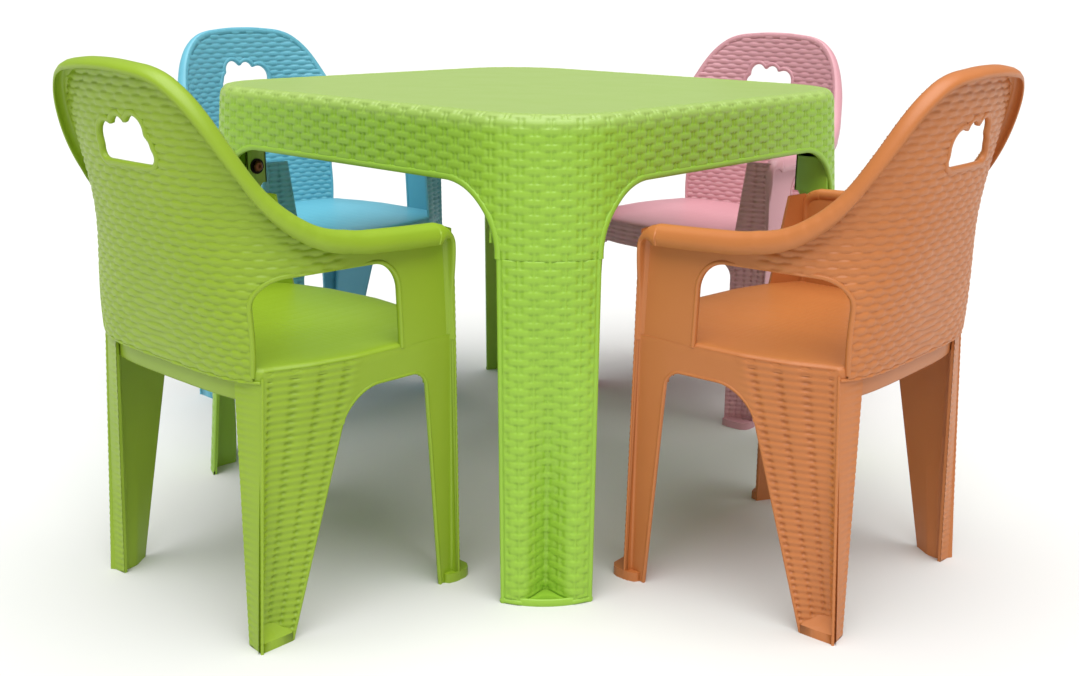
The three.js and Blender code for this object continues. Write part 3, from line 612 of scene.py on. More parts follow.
def leg_skin(quarter):
    skin = Skin(quarter)
    border = np.array([step for step, _ in RIM_STEPS])
    woven = np.linspace(WOVEN_FROM, LEG_RUN - WOVEN_FROM, 80)
    across = np.concatenate([border, woven, LEG_RUN - border[::-1]])
    heights = np.concatenate([border, np.arange(WOVEN_FROM, SEAM - SEAM_GAP, 1.3), [SEAM]])
    run, z = np.meshgrid(across, heights, indexing="ij")
    points = leg_point(run / LEG_RUN, z, 0.0)
    _, out = with_normals(lambda a, b: leg_point(a / LEG_RUN, b, 0.0), run, z)
    out = along(out, [-1, -1, 0])
    from_edge = np.minimum(run, LEG_RUN - run)
    rim_at, rim_height = np.array(RIM_STEPS).T
    rises = [np.where(far > RIM_WIDTH, RIM_FLOOR, np.interp(far, rim_at, rim_height))
             for far in (from_edge, z)]
    rise = np.where((from_edge > RIM_WIDTH) & (z > RIM_WIDTH), 0.0, np.maximum(*rises))
    bound = smooth((from_edge - RIM_WIDTH) / 2) * smooth((z - RIM_WIDTH) / 2)
    weave = np.stack([run - LEG_RUN / 2 + QUARTER / 2, z - SEAM + 60 * TABLE_ROW, bound], -1)
    skin.grid(points + out * rise[..., None], out, weave)
    inner_runs, inner_heights = np.linspace(0, LEG_RUN, 25), np.linspace(0, SEAM - SEAM_GAP, 40)
    inner_run, inner_z = np.meshgrid(inner_runs, inner_heights, indexing="ij")
    skin.grid(leg_point(inner_run / LEG_RUN, inner_z, TABLE_WALL), [1.0, 1.0, 0.0])
    for edge in (0.0, 1.0):
        strip = np.stack([leg_point(edge, heights, inset) for inset in (0.9, TABLE_WALL)], 0)
        skin.grid(strip, strip - leg_point(0.5, heights, 0.0))
    for height, facing in ((0.0, -1.0), (SEAM - SEAM_GAP / 2, 1.0)):
        level = np.full(len(across), height)
        strip = np.stack([leg_point(across / LEG_RUN, level, inset) for inset in (0.0, TABLE_WALL)], 0)
        skin.grid(strip, [0, 0, facing])
    share = np.linspace(0.5 - PLATE_HALF, 0.5 + PLATE_HALF, 60)
    rows = [foot_point(share, np.full(len(share), height), inset) for inset, height in PLATE_SECTION]
    back = leg_point(share, np.full(len(share), PLATE_HEIGHT), 0.5)
    plate = np.stack(rows + [mix(rows[-1], back, 0.5), back], 0)
    plate[-2:, :, 2] = PLATE_HEIGHT
    skin.grid(plate, [-1.0, -1.0, 1.0])
    skin.grid(np.stack([rows[0], leg_point(share, 0 * share, 0.5)], 0), [0, 0, -1.0])
    spigot(skin)
    return skin


# ---- Chair ----

# Upper edge of the back and arms: share of the way from the back's middle to an arm's front, and height.
TOP_LINE = [(0, BACK_HEIGHT), (0.12, 527), (0.17, 515), (0.22, 498), (0.3, 462), (0.38, 430),
            (0.46, 408), (0.55, 391), (0.65, 382), (0.8, 379), (1, ARM_HEIGHT)]


def shell_half(z):
    return eased([(SEAT_HEIGHT - 80, HIP_HALF_WIDTH + 2), (SEAT_HEIGHT, HIP_HALF_WIDTH),
                  (400, ARM_HALF_WIDTH), (520, SHOULDER_HALF_WIDTH), (560, SHOULDER_HALF_WIDTH + 8)], z, 30)


def shell_mid(run, z):
    """Middle of the shell's wall; run goes from -1 at the left arm's front to 1 at the right's."""
    turn = np.clip(run / BACK_SHARE, -1, 1) * (math.pi / 2)
    power = 2 / eased([(SEAT_HEIGHT, SEAT_SQUARENESS), (ARM_HEIGHT, BACK_SQUARENESS)], z, 30)
    x = shell_half(z) * np.sign(turn) * np.abs(np.sin(turn)) ** power
    at_back = mix(BACK_AT_SEAT, BACK_AT_TOP, (z - SEAT_HEIGHT) / (BACK_HEIGHT - SEAT_HEIGHT))
    back = (BACK_TURN - at_back) * np.abs(np.cos(turn)) ** power
    forward = np.maximum(0, (np.abs(run) - BACK_SHARE) / (1 - BACK_SHARE)) * (ARM_FRONT - BACK_TURN)
    return np.stack([x, BACK_TURN - back + forward, z + 0 * x], -1)


FINE_RUN = np.linspace(-1, 1, 8001)
FINE_STEP = np.linalg.norm(np.diff(shell_mid(FINE_RUN, np.full(8001, 400.0)), axis=0), axis=1)
FINE_LENGTH = np.concatenate([[0], np.cumsum(FINE_STEP)])
SHELL_RUN = FINE_LENGTH[-1]     # length of the shell's wall from arm to arm
FINE_LENGTH = FINE_LENGTH - SHELL_RUN / 2


def shell(length, z):
    """The same by length along the wall, in millimetres from the middle of the back."""
    return shell_mid(np.interp(length, FINE_LENGTH, FINE_RUN), z)


def shell_top(length):
    run = np.abs(np.interp(length, FINE_LENGTH, FINE_RUN))
    return eased([(-x, z) for x, z in TOP_LINE[:0:-1]] + TOP_LINE, run, 0.035)


def shell_frame(length, z):
    """Middle of the wall and its normal, pointing away from the sitter."""
    points, out = with_normals(shell, length, z, 0.8)
    return points, along(out, points * [1, 1, 0] + [0, -1e-3, 0])


def in_gap(points):
    """The opening under each arm."""
    front = ARM_FRONT - POST_WIDTH
    middle, half = (front + GAP_REAR) / 2, (front - GAP_REAR) / 2
    beyond = np.maximum(np.abs(points[..., 1] - middle) - (half - GAP_RADIUS), 0)
    above = np.maximum(points[..., 2] - (GAP_TOP - GAP_RADIUS), 0)
    return np.hypot(beyond, above) < GAP_RADIUS


def hole_outline(count):
    """The cloud-shaped hand hole: x and z round its edge, and how far each is from its middle."""
    turn = np.linspace(0, 2 * math.pi, count, endpoint=False)
    reach = np.linspace(0, HOLE_REACH, 601)
    x = HOLE_MIDDLE[0] + reach[None] * np.cos(turn[:, None])
    z = HOLE_MIDDLE[1] + reach[None] * np.sin(turn[:, None])
    left, right, top = HOLE_BODY
    inside = (x > left) & (x < right) & (z > 0) & (z < top)
    for centre, height, radius in HOLE_LOBES:
        inside |= np.hypot(x - centre, z - height) < radius
    far = np.array([reach[row].max() for row in inside])
    far = (np.roll(far, 1) + 2 * far + np.roll(far, -1)) / 4
    return HOLE_MIDDLE[0] + far * np.cos(turn), HOLE_BASE + HOLE_MIDDLE[1] + far * np.sin(turn), far


def in_hole(points):
    far = hole_outline(360)[2]
    aside, above = points[..., 0] - HOLE_MIDDLE[0], points[..., 2] - HOLE_BASE - HOLE_MIDDLE[1]
    turn = np.arctan2(above, aside) % (2 * math.pi)
    at_back = (points[..., 1] < HOLE_FROM) & (np.abs(points[..., 0]) < HOLE_REACH)
    edge = np.interp(turn, np.linspace(0, 2 * math.pi, 361), np.append(far, far[0]))
    return at_back & (np.hypot(above, aside) < edge)


def off_corner(points):
    """Past the rounded corner where the arm turns down into its post."""
    beyond = points[..., 1] - (ARM_FRONT - ARM_CORNER)
    above = points[..., 2] - (ARM_HEIGHT - ARM_CORNER)
    return (beyond > 0) & (above > 0) & (np.hypot(beyond, above) > ARM_CORNER)


# Sections of the rolled rim, as (out, rise) from the middle of the shell's upper edge.
LIP_BACK = np.array([(-1.9, -8), (-2.3, -3), (-1.2, 0.2), (1.5, 1.1), (6, 0.8), (10.5, -0.9), (13.0, -3.4),
                     (14.2, -7.3), (12.8, -7.7), (11.2, -4.9), (9, -3.4), (5.5, -2.3), (2.8, -3.4),
                     (1.9, -8)])
LIP_ARM = np.array([(-1.9, -9), (-2.6, -3.5), (-1.6, 0.4), (1.5, 2.0), (6, 2.1), (10.5, 0.6), (14, -3.6),
                    (15.6, -9.5), (15.9, -17.5), (14.0, -17.9), (13.2, -10.5), (10.5, -5.0), (6, -2.2),
                    (1.9, -9)])
LIP_POST = np.array([(-1.9, -8), (-2.2, -3), (-1.6, 0.2), (0.5, 1.2), (2, 1.5), (3.6, 1.3), (5.0, 0.7),
                     (5.8, -0.5), (5.6, -1.8), (4.9, -2.7), (4.0, -3.3), (3.0, -3.9), (2.2, -4.8),
                     (1.8, -8)])
LIP_FRONT = np.array([(-1.9, -8), (-2.2, -3), (-1.6, 0.2), (0.5, 1.4), (4, 1.8), (8, 1.5), (11, 0.9),
                      (12.4, -0.4), (12.2, -2.0), (11, -2.9), (8, -3.3), (5, -3.7), (2.8, -4.8),
                      (1.9, -8)])


def lip(skin):
    """The smooth rolled rim over the back and arms, and down the front edge of each post."""
    end = SHELL_RUN / 2
    arm = np.linspace(0, end - ARM_CORNER, 260)
    turn = np.linspace(0, math.pi / 2, 14)[1:]
    down = np.linspace(ARM_HEIGHT - ARM_CORNER, POST_FOOT, 30)[1:]
    length = np.concatenate([arm, end - ARM_CORNER + ARM_CORNER * np.sin(turn), np.full(len(down), end)])
    z = np.concatenate([shell_top(arm), ARM_HEIGHT - ARM_CORNER * (1 - np.cos(turn)), down])
    length, z = np.concatenate([-length[:0:-1], length]), np.concatenate([z[:0:-1], z])
    path, out = shell_frame(length, z)
    rise = along(unit(np.cross(unit(np.gradient(path, axis=0)), out)), path - [0, -40, 300])
    to_arm = smooth((RIM_WIDENS_AT - z) / RIM_WIDENS_OVER)[:, None, None]
    round_corner = (np.abs(length) - (end - ARM_CORNER) + ARM_HEIGHT - z) / (2 * ARM_CORNER)
    to_post = (smooth(round_corner) * (np.abs(length) > end - ARM_CORNER - 1))[:, None, None]
    down = smooth((ARM_HEIGHT - ARM_CORNER - z) / 60)[:, None, None]
    profile = mix(mix(LIP_BACK, LIP_ARM, to_arm), mix(LIP_FRONT, LIP_POST, down), to_post)
    skin.sweep(path, out, rise, profile)


GAP_RIM = [(-0.9, -2.4), (-1.3, 0), (-0.9, 2.4), (0.6, 2.9), (2.2, 2.7), (3.0, 1.8), (3.0, -1.8), (2.2, -2.7),
           (0.6, -2.9)]


def gap_rim(skin, hand):
    """The bead round the opening under an arm; hand is 1 or -1."""
    front = ARM_FRONT - POST_WIDTH
    turn = np.linspace(0, math.pi / 2, 16)
    y = np.concatenate([[front, front], front - GAP_RADIUS * (1 - np.cos(turn)),
                        GAP_REAR + GAP_RADIUS * (1 - np.sin(turn)), [GAP_REAR] * 12])
    z = np.concatenate([[SEAT_EDGE, 300], GAP_TOP - GAP_RADIUS * (1 - np.sin(turn)),
                        GAP_TOP - GAP_RADIUS * (1 - np.cos(turn)), np.linspace(318, POST_FOOT, 12)])
    lengths = np.linspace(0, SHELL_RUN / 2, 3000)
    length = np.array([np.interp(at, shell(lengths, np.full(len(lengths), height))[:, 1], lengths)
                       for at, height in zip(y, z)])
    path, out = shell_frame(hand * length, z)
    middle = np.array([0, (front + GAP_REAR) / 2, 300])
    side = along(unit(np.cross(out, np.gradient(path, axis=0))), (path - middle) * [0, 1, 1])
    skin.sweep(path, side, out, GAP_RIM)


HOLE_RIM = [(-0.9, -2.3), (-1.3, 0), (-0.9, 2.3), (0.5, 3.0), (2.2, 3.2), (4.2, 2.6), (4.8, 1.5), (4.8, -1.5),
            (4.2, -2.6), (2.2, -3.2), (0.5, -3.0)]


def back_skin():
    skin = Skin()
    lengths = np.linspace(-SHELL_RUN / 2, SHELL_RUN / 2, int(SHELL_RUN / BACK_COLUMN))
    heights = np.arange(SHELL_BOTTOM, BACK_HEIGHT + 2, BACK_ROW)
    length, z = np.meshgrid(lengths, heights, indexing="ij")
    middle, out = shell_frame(length, z)
    centre = (middle[:-1, :-1] + middle[1:, 1:]) / 2
    top = shell_top((length[:-1, :-1] + length[1:, 1:]) / 2)
    low = np.where(centre[..., 1] > GAP_REAR + 3, SEAT_EDGE, SHELL_BOTTOM)
    keep = (centre[..., 2] < top - 1.0) & (centre[..., 2] > low) & ~in_gap(centre) & ~in_hole(centre)
    keep &= ~off_corner(centre)
    from_top = shell_top(length) - z
    fade = smooth((-18 - middle[..., 1]) / 34) * smooth((from_top - 3) / 5)
    weave = np.stack([length, z, fade], -1)
    skin.grid(middle + out * SHELL_WALL / 2, out, weave, keep)
    skin.grid(middle - out * SHELL_WALL / 2, -out, weave, keep)
    lip(skin)
    for hand in (1, -1):
        gap_rim(skin, hand)
    x, z, _ = hole_outline(150)
    half = np.linspace(-90, 90, 2000)
    length = np.array([np.interp(at, shell(half, np.full(len(half), height))[:, 0], half)
                       for at, height in zip(x, z)])
    path, out = shell_frame(length, z)
    ahead = np.roll(path, -1, 0) - np.roll(path, 1, 0)
    skin.sweep(path, along(unit(np.cross(out, ahead)), path - path.mean(0)), out, HOLE_RIM, closed=True)
    lengths = lengths[shell(lengths, np.full(len(lengths), SHELL_BOTTOM))[:, 1] < GAP_REAR + 4]
    path, out = shell_frame(lengths, np.full(len(lengths), SHELL_BOTTOM))
    skin.sweep(path, out, [0.0, 0, 1],
               [(-1.9, 2), (-1.75, 0), (-0.9, -1.2), (0.9, -1.2), (1.9, 0), (2.2, 2)])
    return skin


# Upright lines of each panel: share across it, [x, y] at the floor and [x, y] under the seat.
SIDE_LINES = [(0.00, (131, -125), (130, -110)), (0.09, (117.5, -117), (130.5, -99)),
              (0.22, (119, -106), (141.5, -70)), (0.42, (131, -89), (151, -28)),
              (0.74, (150, 84), (155.6, 62)), (0.94, (149, 100), (155.8, 95)), (1.00, (156, 104), (159, 98))]
FRONT_LINES = [(-1.00, (-156, 104), (-159, 98)), (-0.76, (-137, 104), (-141, 105)),
               (-0.50, (-118, 116), (-116, 118)), (-0.3, (-70, 131), (-70, 131)), (0.0, (0, 138), (0, 138)),
               (0.3, (70, 131), (70, 131)), (0.50, (118, 116), (116, 118)), (0.76, (137, 104), (141, 105)),
               (1.00, (156, 104), (159, 98))]


def panel_point(lines, share, z, soften):
    rise = z / SKIRT_BOTTOM
    spots = [entry[0] for entry in lines]
    at_floor = [[entry[1][axis] for entry in lines] for axis in (0, 1)]
    at_seat = [[entry[2][axis] for entry in lines] for axis in (0, 1)]
    x, y = [mix(eased(list(zip(spots, low)), share, soften),
                eased(list(zip(spots, high)), share, soften), rise)
            for low, high in zip(at_floor, at_seat)]
    return np.stack([x, y, z + 0 * x], -1)


def side_panel(share, z):
    return panel_point(SIDE_LINES, share, z, 0.012)


def front_panel(share, z):
    return panel_point(FRONT_LINES, share, z, 0.03)


SIDE_WIDTH, FRONT_WIDTH = 150.0, 160.0     # run of a panel for one unit of share


def in_opening(a_rear, a_front, below, radius_rear, radius_front):
    """Inside an arch between two legs; distances are from each leg's edge and from the crown."""
    inside = (a_rear > 0) & (a_front > 0) & (below > 0)
    for aside, radius in ((a_rear, radius_rear), (a_front, radius_front)):
        corner = (aside < radius) & (below < radius)
        inside &= ~(corner & (np.hypot(radius - aside, radius - below) > radius))
    return inside


def leg_edges(kind, z):
    """Where an arch's two sides are at a height: along Y on a side panel, along X on the front."""
    if kind == "side":
        return mix(-89, -28, z / SKIRT_BOTTOM), mix(84, 62, z / SKIRT_BOTTOM)
    return mix(-118, -116, z / SKIRT_BOTTOM), mix(118, 116, z / SKIRT_BOTTOM)


# Radius of each arch's two upper corners.
ARCHES = {"side": (34.0, 16.0), "front": (24.0, 24.0)}


def arch_path(kind):
    """The edge of the opening between two legs: up one leg, over and down the other."""
    start, end = ARCHES[kind]
    turn = np.linspace(0, math.pi / 2, 20)
    up = np.linspace(0, SKIRT_BOTTOM - start, 50)[:-1]
    z_start = SKIRT_BOTTOM - start * (1 - np.sin(turn))
    z_end = SKIRT_BOTTOM - end * (1 - np.cos(turn))
    down = np.linspace(SKIRT_BOTTOM - end, 0, 50)[1:]
    first = np.concatenate([leg_edges(kind, up)[0], leg_edges(kind, z_start)[0] + start * (1 - np.cos(turn))])
    last = np.concatenate([leg_edges(kind, z_end)[1] - end * (1 - np.sin(turn)), leg_edges(kind, down)[1]])
    beam = np.linspace(first[-1], last[0], 42)[1:-1]
    return (np.concatenate([first, beam, last]),
            np.concatenate([up, z_start, np.full(len(beam), SKIRT_BOTTOM), z_end, down]))


PANEL_RIM = [(-0.8, -LEG_WALL), (-1.1, -1.6), (-0.7, 0.3), (0.6, 0.7), (2.0, 0.4), (2.4, -0.6), (2.4, -2.6),
             (1.6, -LEG_WALL - 0.2)]


def panel(skin, kind):
    """A wall with an arch cut in it, woven where the legs are folded, with its inner face."""
    if kind == "side":
        surface, width, first, axis, outer = side_panel, SIDE_WIDTH, 0.0, 1, np.array([1.0, 0, 0])
        inside = np.array([154.0, 5, 120])
    else:
        surface, width, first, axis, outer = front_panel, FRONT_WIDTH, -1.0, 0, np.array([0, 1.0, 0])
        inside = np.array([0, 130.0, 120])

    def placed(run, z):
        return surface(run / width, z)

    for step, row_step, inset, facing in ((1.6, 1.5, 0.0, 1), (2.6, 4.0, LEG_WALL, -1)):
        runs = np.linspace(first * width, width, int((1 - first) * width / step))
        run, z = np.meshgrid(runs, np.arange(0, PANEL_TOP, row_step), indexing="ij")
        points, out = with_normals(placed, run, z)
        out = along(out, outer)
        centre = (points[:-1, :-1] + points[1:, 1:]) / 2
        low, high = leg_edges(kind, centre[..., 2])
        opening = in_opening(centre[..., axis] - low, high - centre[..., axis], SKIRT_BOTTOM - centre[..., 2],
                             *ARCHES[kind])
        if kind == "side":
            fade = smooth((run - 4) / 4) * smooth((WOVEN_SHARE * width - run) / 14) * smooth((z - 7) / 2)
        else:
            fade = smooth((width - np.abs(run) - 3) / 4) * smooth((z - 10) / 2)
        weave = np.stack([run, z, fade if facing > 0 else 0 * z], -1)
        skin.grid(points - out * inset, out * facing, weave, ~opening)
    across, z = arch_path(kind)
    shares = np.linspace(first, 1, 3000)
    share = np.array([np.interp(at, surface(shares, np.full(len(shares), height))[:, axis], shares)
                      for at, height in zip(across, z)])
    path, out = with_normals(placed, share * width, z)
    out = along(out, outer)
    side = along(unit(np.cross(out, np.gradient(path, axis=0))), (path - inside) * (1 - outer))
    skin.sweep(path, side, out, PANEL_RIM)


def ridge(skin, line, radius):
    """The beaded line down the fold of a leg, through (z, x, y) points."""
    heights, across, forward = np.array(line, float).T
    z = np.linspace(heights[0], heights[-1], int((heights[-1] - heights[0]) / 2.4))
    path = np.stack([np.interp(z, heights, across), np.interp(z, heights, forward), z], -1)
    turn = np.linspace(0, 2 * math.pi, 10, endpoint=False)
    beads = radius * (0.85 + 0.15 * np.cos(2 * math.pi * z / CHAIR_ROW))[:, None]
    profile = np.stack([beads * np.cos(turn), beads * np.sin(turn)], -1)
    skin.sweep(path, [1.0, 0, 0], [0, 1.0, 0], profile)


def rear_flange(skin):
    """The narrow wall of the rear leg that faces backwards."""
    run, z = np.meshgrid(np.linspace(0, FLANGE_WIDTH, 10), np.arange(0, FLANGE_TOP, 1.6), indexing="ij")
    rise = z / SKIRT_BOTTOM
    outer = np.stack([mix(131, 130, rise), mix(-125, -110, rise)])
    inner = np.stack([mix(109, 100, rise), mix(-123, -117, rise)])
    x, y = mix(outer, inner, run / FLANGE_WIDTH)
    points = np.stack([x, y, z], -1)
    fade = 0.35 * smooth((run - 2) / 3)
    skin.grid(points, [0, -1.0, 0], np.stack([run + 7, z, fade], -1))
    inner_face = points + np.stack([0 * run, LEG_WALL * smooth(run / 9), 0 * run], -1)
    skin.grid(inner_face, [0, 1.0, 0])
    skin.grid(np.stack([points[-1], inner_face[-1]], 0), [-1.0, 0, 0])
    skin.grid(np.stack([points[:, 0], inner_face[:, 0]], 0), [0, 0, -1.0])


def slab(skin, outline, low, high):
    """A flat block between two heights, from an outline that can be seen whole from its middle."""
    outline = np.array(outline, float)
    middle = outline.mean(0)
    rings = [np.column_stack([outline, np.full(len(outline), height)]) for height in (low, high)]
    for ring, height, facing in zip(rings, (low, high), (-1.0, 1.0)):
        skin.cap(ring, [*middle, height], [0, 0, facing])
    wall = np.stack(rings, 0)
    skin.grid(wall, (wall - [*middle, 0]) * [1, 1, 0], closed=(False, True))


# Outlines on the floor of the right-hand front toe and rear foot plate.
TOE = [(148.5, 88), (155, 92), (157.5, 100), (157.5, 113), (155, 119), (149, 123.5), (128, 124.5),
       (118.5, 122), (118, 115), (137, 101.5), (146.8, 98.8)]
LEDGE = [(130.5, -124.5), (131.2, -107), (131.5, -90), (125, -95), (119, -104), (116.5, -111), (117.5, -118)]


def foot_ledge(skin):
    """The plate that closes the rear leg's hollow and slopes up into its deepest part."""
    outline = np.array(LEDGE, float)
    depth = np.clip((131 - outline[:, 0]) / 14, 0, 1)
    top = np.column_stack([outline, FOOT_LEDGE + 17 * depth])
    bottom = top * [1, 1, 0]
    middle = np.array([128, -107, FOOT_LEDGE + 3])
    wall = np.stack([bottom, top], 0)
    skin.grid(wall, wall - middle, closed=(False, True))
    skin.cap(top, middle, [0.4, 0, 1.0])
    skin.cap(bottom, middle * [1, 1, 0], [0, 0, -1.0])


# The post's front wall, as (run across it, (x, y)) at its foot and at its top.
POST_AT_FOOT = [(0, (159.3, 97.4)), (20, (141.4, 105.1)), (44, (115.8, 118.2))]
POST_AT_TOP = [(0, (156, 98)), (20, (140, 99.5)), (44, (122, 102))]


def post_front(skin):
    """The woven front wall of each arm post, from the seat up to the arm."""

    def placed(run, z):
        share = (z - POST_FOOT) / (POST_TOP - POST_FOOT)
        x, y = [mix(*[eased([(at, place[axis]) for at, place in line], run, 3)
                      for line in (POST_AT_FOOT, POST_AT_TOP)], share) for axis in (0, 1)]
        return np.stack([x, y, z], -1)

    run, z = np.meshgrid(np.linspace(0, POST_FRONT_WIDTH, 18), np.arange(258, POST_TOP, 1.6), indexing="ij")
    points, out = with_normals(placed, run, z)
    out = along(out, [0, 1, 0])
    fade = smooth((run - 3) / 3) * smooth((POST_FRONT_WIDTH - 2 - run) / 3)
    skin.grid(points, out, np.stack([run, z, fade], -1))
    skin.grid(points - out * LEG_WALL, -out)
    skin.grid(np.stack([points[-1], points[-1] - out[-1] * LEG_WALL], 0), [-1.0, 0.3, 0])


def seat_ring():
    """Outline of the seat, anticlockwise from its rear corner on the right."""
    share = np.linspace(0, 0.96, 90)
    right = side_panel(share, np.full(len(share), SEAT_EDGE))[:, :2]
    share = np.linspace(0.9, -0.9, 120)
    front = front_panel(share, np.full(len(share), SEAT_EDGE))[:, :2]
    left = right[::-1] * [-1, 1]
    lengths = np.linspace(-150, 150, 60)[1:-1]
    rear = shell(lengths, np.full(len(lengths), SEAT_HEIGHT))[:, :2]
    rear = rear[np.abs(rear[:, 0]) < 124]
    return np.concatenate([right, front, left, rear])


# Inset from the seat's edge, and height there.
SEAT_STEPS = [(0.4, 258.0), (0.0, 264.5), (0.5, 267.2), (2.0, 269.2), (4.5, 270.0), (12, 270.2), (50, 269.4),
              (100, 269.0), (150, 269.0)]
SEAT_UNDERSIDE = 265.5
REAR_SKIRT_HALF, REAR_SKIRT_HEIGHT, REAR_SKIRT_INSET = 118, 250.0, 8
REAR_SKIRT = [(-1.6, 14), (-1.6, -13), (-0.9, -15), (0.9, -15), (1.8, -13), (2.2, 0), (1.6, 14)]


def seat_skin():
    skin = Skin()
    ring = seat_ring()
    at, heights = np.array(SEAT_STEPS).T
    insets = np.concatenate([[0.4, 0.0, 0.5, 2.0], np.linspace(4.5, SEAT_REACH, 50)])
    levels = np.concatenate([heights[:4], np.interp(insets[4:], at[4:], heights[4:])])

    def level(scale, height):
        return np.column_stack([ring * scale, np.full(len(ring), height)])

    rings = np.stack([level(1 - inset / SEAT_REACH, z) for inset, z in zip(insets, levels)], 0)
    faint = 0.16 * smooth((insets - 4) / 8)[:, None] + 0 * rings[..., 0]
    weave = np.stack([rings[..., 0], rings[..., 1], faint], -1)
    skin.grid(rings, [0, 0, 1.0] + rings * [0.02, 0.02, 0], weave, closed=(False, True))
    under = np.stack([level(scale, SEAT_UNDERSIDE) for scale in (0.99, 0.5, 0.0)], 0)
    skin.grid(under, [0, 0, -1.0], closed=(False, True))
    panel(skin, "front")
    for hand in (1, -1):
        skin.flip = hand
        panel(skin, "side")
        rear_flange(skin)
        ridge(skin, [(0, 130.6, -124.6), (262, 129.6, -108.2)], 1.7)
        ridge(skin, [(0, 156.5, 104.2), (250, 159.4, 97.9), (350, 157, 98.4)], 1.5)
        foot_ledge(skin)
        slab(skin, TOE, 0, 10)
        post_front(skin)
    skin.flip = 1
    lengths = np.linspace(-REAR_SKIRT_HALF, REAR_SKIRT_HALF, 90)
    path, out = shell_frame(lengths, np.full(len(lengths), REAR_SKIRT_HEIGHT))
    skin.sweep(path - out * REAR_SKIRT_INSET, out, [0.0, 0, 1], REAR_SKIRT)
    return skin


# ---- Build the table ----

TABLE_WEAVE = {"Row Pitch": TABLE_ROW * MM, "Stake Spacing": TABLE_STAKE * MM}
CHAIR_WEAVE = {"Row Pitch": CHAIR_ROW * MM, "Stake Spacing": CHAIR_STAKE * MM, "Dive Start": -0.75,
               "Dive Length": 1.1, "Narrow": 0.36, "Lens": 0.14, "Edge": 3.0, "Crossing": 0.9 * MM,
               "Crown": 0.9 * MM, "Stake Height": -1.5 * MM, "Groove": -0.9 * MM}
LEG_WEAVE = {"Row Pitch": CHAIR_ROW * MM, "Stake Spacing": LEG_STAKE * MM, "Row Shift": 0.0,
             "Dive Start": -0.92, "Dive Length": 0.7, "Narrow": 0.27, "Lens": 0.21, "Edge": 2.4,
             "Crossing": 0.3 * MM, "Crown": 1.3 * MM, "Stake Height": -1.8 * MM, "Groove": -1.7 * MM}

# The first apron is named as what replaces the table top; the other panels of the top come with it.
green = PLASTICS["green"]
for quarter, corner in enumerate(CORNERS):
    apron = woven_mesh(apron_skin(quarter), f"apron_{corner}", green, **TABLE_WEAVE)
    piece(f"apron_{corner}", apron, "table", ("table_top",) if quarter == 0 else ())
    leg = woven_mesh(leg_skin(quarter), f"woven_leg_{corner}", green, **TABLE_WEAVE)
    piece(f"woven_leg_{corner}", leg, "table", (f"table_leg_{corner}",))
piece("table_flat", woven_mesh(top_skin(), "table_flat", green, **TABLE_WEAVE), "table")

# ---- Screws and washers, carried over from the frame ----

for corner in CORNERS:
    for node, metal in ((f"leg_screw_{corner}", SCREW_METAL), (f"leg_washer_{corner}", WASHER_METAL)):
        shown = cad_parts[node]
        shown.data.materials.clear()
        shown.data.materials.append(metal)

# ---- Build the chairs ----

back_shape = woven_mesh(back_skin(), "chair_back", green, **CHAIR_WEAVE)
seat_shape = woven_mesh(seat_skin(), "chair_seat", green, **LEG_WEAVE)
for colour, quarter, shift in CHAIRS:
    turn = Matrix.Rotation(quarter * math.pi / 2, 4, "Z")
    place = turn @ Matrix.Translation((shift * MM, -CHAIR_DISTANCE * MM, 0))
    for part, shape in (("back", back_shape), ("seat", seat_shape)):
        mesh = shape.copy()
        mesh.name = f"{colour}_{part}"
        mesh.transform(place)
        mesh.materials.clear()
        mesh.materials.append(PLASTICS[colour])
        piece(f"{colour}_{part}", mesh, f"{colour}_chair",
              (f"chair_{colour}",) if part == "back" else ())

# ---- Camera, floor and light ----

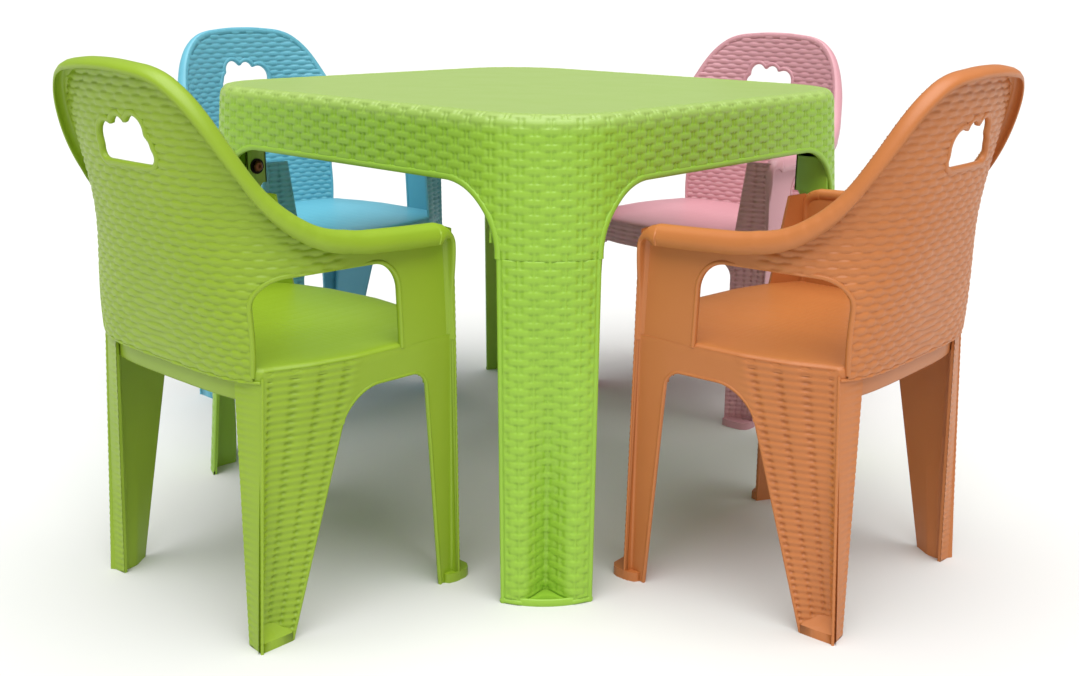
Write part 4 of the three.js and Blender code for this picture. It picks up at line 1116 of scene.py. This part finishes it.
CAMERA_PLACE = (1.0179, -1.1320, 0.5925)      # metres
YAW, PITCH, ROLL = math.radians(41.4155), math.radians(15.72), math.radians(0.72)
forward = Vector((-math.sin(YAW) * math.cos(PITCH), math.cos(YAW) * math.cos(PITCH), -math.sin(PITCH)))
level = Vector((math.cos(YAW), math.sin(YAW), 0))
upright = level.cross(forward)
right = level * math.cos(ROLL) + upright * math.sin(ROLL)
up = upright * math.cos(ROLL) - level * math.sin(ROLL)
camera = bpy.data.objects.new("camera", bpy.data.cameras.new("camera"))
bpy.context.scene.collection.objects.link(camera)
camera.matrix_world = Matrix((
    (right.x, up.x, -forward.x, CAMERA_PLACE[0]), (right.y, up.y, -forward.y, CAMERA_PLACE[1]),
    (right.z, up.z, -forward.z, CAMERA_PLACE[2]), (0, 0, 0, 1)))
camera.data.lens = 41.353
camera.data.sensor_width = 36.0
bpy.context.scene.camera = camera

FLOOR_REACH, BACKDROP_REACH, BACKDROP_RISE = 30.0, 60.0, 8.0      # metres
ring = [(-1, -1), (1, -1), (1, 1), (-1, 1)]
floor_mesh = bpy.data.meshes.new("floor")
floor_mesh.from_pydata([(x * FLOOR_REACH, y * FLOOR_REACH, 0) for x, y in ring]
                       + [(x * BACKDROP_REACH, y * BACKDROP_REACH, BACKDROP_RISE) for x, y in ring], [],
                       [(0, 1, 2, 3)] + [(k, k + 4, (k + 1) % 4 + 4, (k + 1) % 4) for k in range(4)])
floor = bpy.data.objects.new("floor", floor_mesh)
bpy.context.scene.collection.objects.link(floor)
paper = bpy.data.materials.new("white_paper")
paper.use_nodes = True
paper.node_tree.nodes["Principled BSDF"].inputs["Base Color"].default_value = linear("#D8D8D6")
paper.node_tree.nodes["Principled BSDF"].inputs["Roughness"].default_value = 0.9
floor_mesh.materials.append(paper)

studio = bpy.data.worlds.new("studio")
studio.use_nodes = True
studio.node_tree.nodes["Background"].inputs["Color"].default_value = (1, 1, 1, 1)
studio.node_tree.nodes["Background"].inputs["Strength"].default_value = 0.3
bpy.context.scene.world = studio
bpy.context.scene.view_settings.view_transform = "Standard"


def overhead_light(name, elevation, azimuth, strength, softness):
    """A very large soft light overhead; angles in degrees, azimuth from the +X axis."""
    lamp = bpy.data.lights.new(name, "SUN")
    lamp.energy = strength
    lamp.angle = math.radians(softness)
    made = bpy.data.objects.new(name, lamp)
    bpy.context.scene.collection.objects.link(made)
    tilt, turn = math.radians(elevation), math.radians(azimuth)
    towards = Vector((math.cos(tilt) * math.cos(turn), math.cos(tilt) * math.sin(turn), math.sin(tilt)))
    made.rotation_euler = towards.to_track_quat("Z", "Y").to_euler()


overhead_light("overhead", elevation=73, azimuth=-45, strength=4.3, softness=75)
